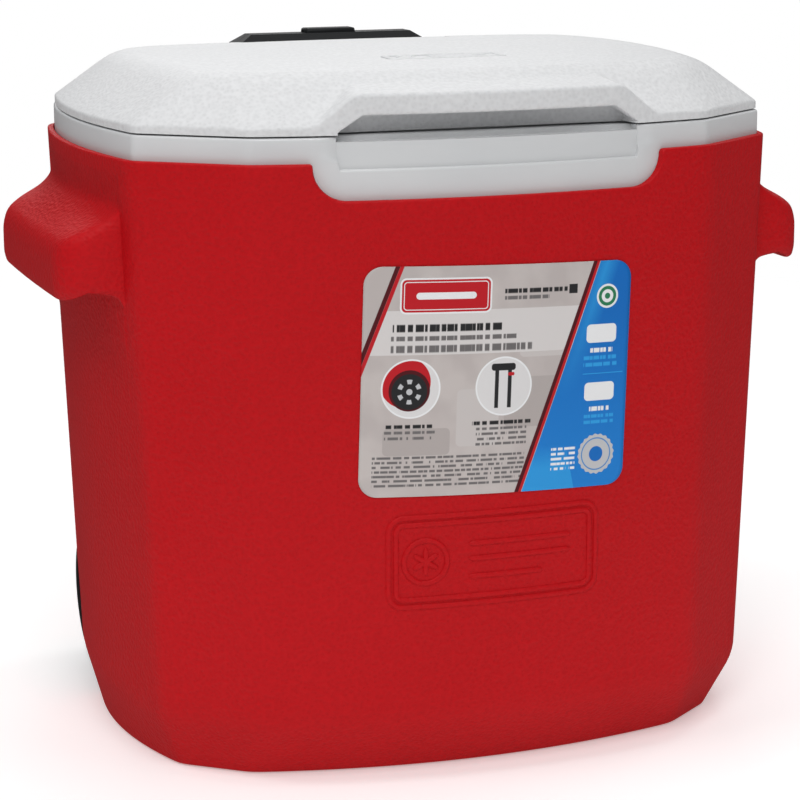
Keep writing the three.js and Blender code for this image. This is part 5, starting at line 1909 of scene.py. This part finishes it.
@dataclass(frozen=True)
class LabelInk:
    """The label's print, as shapes on its own UV map: plain bars, discs and colour fields."""

    warm: Colour = (0.52, 0.47, 0.455)
    fleck: Colour = (0.58, 0.53, 0.51)
    shade: Colour = (0.46, 0.415, 0.40)
    tint: Colour = (0.60, 0.56, 0.545)
    band: Colour = (0.70, 0.67, 0.66)
    ink: Colour = (0.03, 0.03, 0.032)
    grey: Colour = (0.17, 0.16, 0.16)
    red: Colour = (0.55, 0.012, 0.02)
    wine: Colour = (0.10, 0.012, 0.016)
    blue: Colour = (0.008, 0.16, 0.55)
    azure: Colour = (0.012, 0.22, 0.66)
    steel_blue: Colour = (0.10, 0.28, 0.60)
    sky: Colour = (0.03, 0.36, 0.80)
    green: Colour = (0.03, 0.22, 0.10)
    white: Colour = (0.86, 0.87, 0.88)
    pearl: Colour = (0.74, 0.73, 0.73)
    silver: Colour = (0.55, 0.56, 0.58)

    def page(self, press: Press) -> None:
        """The page's tiles, its pale band and the slanting cut at its left."""
        press.lay(self.shade, press.block(0.62, 0.60, 34, 30, 4), press.block(0.2, 0.76, 40, 16, 3))
        press.lay(self.tint, press.block(0.42, 0.66, 26, 34, 3), press.block(0.66, 0.33, 30, 20, 3))
        press.lay(self.band, press.block(0.35, 0.285, 200, 26))
        cut = press.leaning(0.127, -0.17)
        press.lay(self.warm, cut.below(0.0))
        press.lay(self.wine, (cut + 1.6).size().below(1.4))
        press.lay(self.red, (cut - 1.0).size().below(1.2))

    def title(self, press: Press) -> None:
        """The plaque, and the dashes beside and below it."""
        for wide, high, corner, ink in (
            (55, 21, 3.6, self.white),
            (53, 19, 2.8, self.red),
            (50.6, 16.6, 2.0, self.white),
            (49.6, 15.6, 1.6, self.red),
            (36, 4.0, 2.0, self.white),
        ):
            press.lay(ink, press.block(0.293, 0.127, wide, high, corner))
        press.lay(self.ink, press.block(0.768, 0.115, 5.5, 5.5))
        press.lines(
            (self.ink, 0.50, 0.745, 0.10, 0.128, 1, 0.7),
            (self.grey, 0.50, 0.675, 0.132, 0.155, 1, 0.7),
            (self.ink, 0.105, 0.50, 0.247, 0.283, 1, 0.9),
            (self.grey, 0.10, 0.555, 0.297, 0.322, 1, 0.8),
            (self.grey, 0.10, 0.615, 0.337, 0.373, 1, 0.85),
        )

    def pictures(self, press: Press) -> None:
        """Two round pictures: a spoked wheel in its arch, and a pull handle."""
        for u in (0.175, 0.514):
            press.lay(self.white, press.disc(u, 0.527, 17.6))
            press.lay(self.pearl, press.disc(u, 0.527, 16.6))
        inside = press.disc(0.175, 0.527, 16.6)
        press.lay(self.red, press.disc(0.155, 0.50, 15.0) * inside)
        press.lay(self.wine, press.disc(0.17, 0.535, 12.2) * inside)
        press.lay(self.ink, press.disc(0.17, 0.540, 10.6) * inside)
        spokes = 6
        turn = press.bearing(0.17, 0.54) * (spokes / (2 * math.pi)) + 10.0
        petals = (turn.fraction() - 0.5).size().below(0.22, 0.03)
        press.lay(self.silver, petals * press.ring(0.17, 0.54, 6.0, 1.3))
        press.lay(self.silver, press.disc(0.17, 0.54, 1.8))
        press.lay(self.ink, press.block(0.487, 0.53, 2.4, 25), press.block(0.535, 0.53, 2.4, 25))
        press.lay(self.ink, press.block(0.511, 0.443, 15, 4.2, 1.6))
        press.lay(self.red, press.block(0.54, 0.475, 4.0, 2.0, 0.8))

    def small_print(self, press: Press) -> None:
        """Rows of dashes under the pictures and along the foot."""
        press.lines(
            (self.ink, 0.09, 0.255, 0.678, 0.705, 1, 0.6),
            (self.grey, 0.085, 0.265, 0.705, 0.755, 2, 0.5),
            (self.ink, 0.40, 0.62, 0.672, 0.70, 1, 0.6),
            (self.grey, 0.415, 0.605, 0.70, 0.79, 4, 0.5),
            (self.grey, 0.045, 0.60, 0.818, 0.96, 7, 0.52),
        )

    def panel(self, press: Press) -> None:
        """The slanting blue panel at the right, with its discs, blocks and dashes."""
        lean = press.leaning(0.873, 0.595)
        press.lay(self.wine, (lean + 2.6).size().below(2.0))
        press.lay(self.red, (lean + 1.2).size().below(0.9))
        panel = (0.0 - lean).below(0.0)
        down = press.y / LABEL_HEIGHT
        press.lay(press.book.mix(self.blue, self.azure, down.spread(0.2, 0.9)), panel)
        glow = (lean - 5.0).size().spread(0.0, 9.0, 0.75, 0.0)
        press.lay(self.sky, glow * down.spread(0.1, 0.6, 1.0, 0.0) * panel)
        low = (press.y - 0.80 * LABEL_HEIGHT).spread(0.0, 14.0)
        wedge = press.leaning(0.60, 0.80).below(0.0) * low
        press.lay(self.sky, wedge * panel * 0.8)
        press.lay(self.white, press.disc(0.906, 0.155, 7.2))
        press.lay(self.green, press.ring(0.906, 0.155, 4.9, 1.0), press.disc(0.906, 0.155, 1.8))
        for v in (0.318, 0.575):
            press.lay(self.white, press.block(0.888, v, 20.0, 11.0, 2.6))
        press.lay(self.sky, press.block(0.90, 0.495, 27, 0.5))
        press.lines(
            (self.white, 0.845, 0.935, 0.38, 0.404, 1, 0.8),
            (self.sky, 0.82, 0.955, 0.41, 0.47, 2, 0.55),
            (self.white, 0.85, 0.93, 0.64, 0.664, 1, 0.8),
            (self.sky, 0.83, 0.95, 0.672, 0.724, 2, 0.55),
            (self.white, 0.705, 0.80, 0.81, 0.92, 5, 0.5),
        )

    def seal(self, press: Press) -> None:
        """A silver seal whose radius waves with twenty scallops."""
        u, v = 0.885, 0.855
        scallop = (press.bearing(u, v) * 20.0).sine() * 0.35
        press.lay(self.silver, (press.distance(u, v) + scallop).below(12.0))
        press.lay(self.steel_blue, press.ring(u, v, 9.6, 0.4))
        press.lay(self.blue, press.disc(u, v, 4.6))

    def make(self) -> bpy.types.Material:
        """The material."""
        press = Press(self.warm, self.fleck)
        for layer in (
            self.page,
            self.title,
            self.pictures,
            self.small_print,
            self.panel,
            self.seal,
        ):
            layer(press)
        book = press.book
        gloss = book.noise(400.0, 2.0)
        bump = book.bump(book.noise(26.0, 2.0), 0.15, 0.6)
        return book.finish(press.tone, 0.26 + gloss * 0.08, bump, Specular_IOR_Level=0.35)


@dataclass
class Label:
    """The label: a thin film with round corners on the bowed front wall."""

    finish: bpy.types.Material
    width: float = LABEL_WIDTH
    height: float = LABEL_HEIGHT
    corner: float = 11.0
    centre: tuple[float, float] = (1.7, RIM_Z - 144.0)
    turn: float = math.radians(-1.66)
    lift: float = 0.75
    thick: float = 0.4

    def build(self) -> None:
        """Makes the film, with its UV map running from 0 to 1 across and up."""
        up = np.concatenate(
            [
                self.corner * (1 - np.cos(np.linspace(0, math.pi / 2, 12)[:-1])),
                np.linspace(self.corner, self.height - self.corner, 40),
                self.height - self.corner * (1 - np.cos(np.linspace(math.pi / 2, 0, 12)[1:])),
            ]
        )
        near = np.minimum(up, self.height - up)
        drop = np.clip(self.corner - near, 0, self.corner)
        half = self.width / 2 - self.corner + np.sqrt(self.corner**2 - drop**2)
        a = np.linspace(-1, 1, 61)[None, :] * half[:, None]
        b = (up - self.height / 2)[:, None] + np.zeros_like(a)
        c, s = math.cos(self.turn), math.sin(self.turn)
        x = self.centre[0] + a * c - b * s
        z = self.centre[1] + a * s + b * c
        y = front_wall(x, z, SHELL_STEP + self.lift)
        piece = Piece("label_film").grid(stack(x, y, z), False, False)
        film = piece.build(weld=0.0001)
        self.unwrap(film, c, s)
        shell = film.modifiers.new("film", "SOLIDIFY")
        shell.thickness = self.thick * MM
        shell.offset = -1.0
        settle(film, Body.ROOT, "label_film", self.finish, "front_label")

    def unwrap(self, film: bpy.types.Object, c: float, s: float) -> None:
        """Gives each corner of each face its share across and up the label.

        Args:
            film: the label's mesh.
            c: the cosine of the label's turn.
            s: its sine.
        """
        mesh = film.data
        points = np.zeros(len(mesh.vertices) * 3)
        mesh.vertices.foreach_get("co", points)
        points = points.reshape(-1, 3) / MM
        dx, dz = points[:, 0] - self.centre[0], points[:, 2] - self.centre[1]
        u = (dx * c + dz * s) / self.width + 0.5
        v = (dz * c - dx * s) / self.height + 0.5
        index = np.zeros(len(mesh.loops), dtype=np.int32)
        mesh.loops.foreach_get("vertex_index", index)
        layer = mesh.uv_layers.new(name="print")
        layer.uv.foreach_set("vector", np.stack([u[index], v[index]], axis=1).ravel())


# ---------------------------------------------------------------- studio


@dataclass(frozen=True)
class Studio:
    """The camera, the pale floor and the soft lights."""

    lens: float = 120.825
    sensor: float = 36.0
    turn: float = -18.6264
    tilt: float = 11.7297
    roll: float = -0.3788
    eye: Place = (-543.711, -1605.863, 548.939)
    half_floor: float = 12.0
    ambient: float = 0.26
    reflected: float = 0.06
    floor_glow: float = 0.30

    def camera(self) -> None:
        """Stands the camera where the object is seen from."""
        a, e, r = (math.radians(v) for v in (self.turn, self.tilt, self.roll))
        back = Vector((math.sin(a) * math.cos(e), -math.cos(a) * math.cos(e), math.sin(e)))
        right = (-back).cross(Vector((0, 0, 1))).normalized()
        up = right.cross(-back)
        across = right * math.cos(r) + up * math.sin(r)
        upward = up * math.cos(r) - right * math.sin(r)
        data = bpy.data.cameras.new("camera")
        data.sensor_width = self.sensor
        data.lens = self.lens
        data.clip_start, data.clip_end = 0.05, 50.0
        cam = bpy.data.objects.new("camera", data)
        eye = Vector((self.eye[0], self.eye[1] + PLAN_SHIFT, self.eye[2])) * MM
        axes = Matrix((across, upward, back)).transposed().to_4x4()
        cam.matrix_world = Matrix.Translation(eye) @ axes
        bpy.context.scene.collection.objects.link(cam)
        bpy.context.scene.camera = cam

    def lamp(self, name: str, place: Place, size: float, power: float, aim: Place) -> None:
        """One square area light.

        Args:
            name: its name.
            place: where it hangs, in metres.
            size: the length of its side.
            power: its power, in watts.
            aim: the point that it faces.
        """
        data = bpy.data.lights.new(name, "AREA")
        data.size = size
        data.energy = power
        lamp = bpy.data.objects.new(name, data)
        lamp.location = place
        lamp.rotation_euler = (Vector(aim) - Vector(place)).to_track_quat("-Z", "Y").to_euler()
        bpy.context.scene.collection.objects.link(lamp)

    def floor(self) -> None:
        """A wide pale floor."""
        mesh = bpy.data.meshes.new("floor")
        half, z = self.half_floor, -0.0006
        corners = [(-half, -half, z), (half, -half, z), (half, half, z), (-half, half, z)]
        mesh.from_pydata(corners, [], [(0, 1, 2, 3)])
        floor = bpy.data.objects.new("floor", mesh)
        bpy.context.scene.collection.objects.link(floor)
        book = Book("floor_white")
        tone = book.mix((0.90, 0.90, 0.90), (0.92, 0.92, 0.92), book.noise(3.0))
        away = book.node("ShaderNodeVectorMath", {"operation": "LENGTH"}, {0: book.place()}, 1)
        glow = {"Emission_Color": (1.0, 1.0, 1.0, 1.0), "Emission_Strength": self.floor_glow}
        glow["Alpha"] = away.spread(0.55, 2.2, 1.0, 0.0)
        mesh.materials.append(book.finish(tone, 0.9, Specular_IOR_Level=0.1, **glow))
        floor.visible_glossy = False

    def sky(self) -> None:
        """A white backdrop whose light on the chest is dimmer than it looks."""
        world = bpy.data.worlds.new("studio")
        world.use_nodes = True
        tree = world.node_tree
        backdrop = next(n for n in tree.nodes if n.type == "BACKGROUND")
        backdrop.inputs["Color"].default_value = (1.0, 1.0, 1.0, 1.0)
        path = tree.nodes.new("ShaderNodeLightPath")
        soft = tree.nodes.new("ShaderNodeMapRange")
        tree.links.new(path.outputs["Is Glossy Ray"], soft.inputs["Value"])
        soft.inputs["To Min"].default_value = self.ambient
        soft.inputs["To Max"].default_value = self.reflected
        level = tree.nodes.new("ShaderNodeMath")
        level.operation = "MAXIMUM"
        tree.links.new(path.outputs["Is Camera Ray"], level.inputs[0])
        tree.links.new(soft.outputs[0], level.inputs[1])
        tree.links.new(level.outputs[0], backdrop.inputs["Strength"])
        bpy.context.scene.world = world

    def build(self) -> None:
        """Sets the whole studio."""
        bpy.context.scene.view_settings.view_transform = "Standard"
        self.camera()
        self.floor()
        self.sky()
        for lamp in (
            ("key", (-0.5, -1.9, 2.3), 1.5, 34.0, (0, 0, 0.25)),
            ("top", (0.2, 0.2, 2.6), 1.6, 17.0, (0, 0, 0.3)),
            ("left", (-1.5, -0.2, 2.3), 0.8, 11.0, (-0.2, 0, 0.3)),
            ("right", (2.0, 0.9, 1.6), 1.2, 5.0, (0, 0, 0.3)),
            ("rear", (0.4, 2.4, 1.5), 1.6, 12.0, (0, 0, 0.3)),
        ):
            self.lamp(*lamp)


# ---------------------------------------------------------------- the whole chest


def dress_rest(finishes: Finishes) -> None:
    """Gives every CAD node that still shows the finish of its slot."""
    by_slot = {
        "insulation_foam": finishes.foam,
        "steel": finishes.steel,
        "hinge_grey": finishes.hinge,
        "tube_black": finishes.tube,
        "bracket_black": finishes.black,
        "grip_black": finishes.grip,
        "wheel_black": finishes.wheel,
        "label_film": finishes.liner,
        "shell_red": finishes.red,
        "liner_white": finishes.liner,
        "lid_white": finishes.lid,
    }
    slots = {s["node"]: s["material_slot"] for s in frame["record"]["subparts"]}
    for name, thing in frame["nodes"].items():
        if not thing.hide_render:
            thing.data.materials.clear()
            thing.data.materials.append(by_slot[slots[name]])


def main() -> None:
    """Builds the chest, sub-assembly by sub-assembly."""
    logging.basicConfig(level=logging.INFO, format="%(name)s %(message)s")
    finishes = Finishes()
    Studio().build()
    OuterShell(finishes.red).build()
    InnerLiner(finishes.liner).build()
    lid = Lid(finishes.lid, finishes.liner)
    lid.build()
    Label(LabelInk().make()).build()
    for side in Side:
        WheelSet(side, finishes.wheel, finishes.black, finishes.steel).build()
        Hinge(side, finishes.hinge, finishes.steel).build()
        for part in ("top", "foot"):
            Screw(f"{part}_bracket_screw_{side.word}", Body.ROOT, finishes.steel).build()
    PullHandle(finishes.tube, finishes.black, finishes.grip, finishes.steel).build()

    def on_front(x: Array, z: Array, height: Array) -> Array:
        """Points on the shell's front wall."""
        return stack(x, front_wall(x, z, SHELL_STEP) - height, z)

    def on_lid(x: Array, y: Array, height: Array) -> Array:
        """Points on the lid's crown."""
        return stack(x, y, lid.height(x, y) + height)

    emblem = Mark("front_emblem", (0.0, 135.3), (131.0, 54.5), 1.1, 1.7, 9.0)
    emblem.build(on_front, Body.ROOT, "shell_red", finishes.red)
    badge = Mark("lid_emblem", (6.0, -62.0), (74.0, 22.0), 0.5, 0.8, 4.0)
    badge.build(on_lid, Body.LID, "lid_white", finishes.lid)
    dress_rest(finishes)


if __name__ == "__main__":
    main()
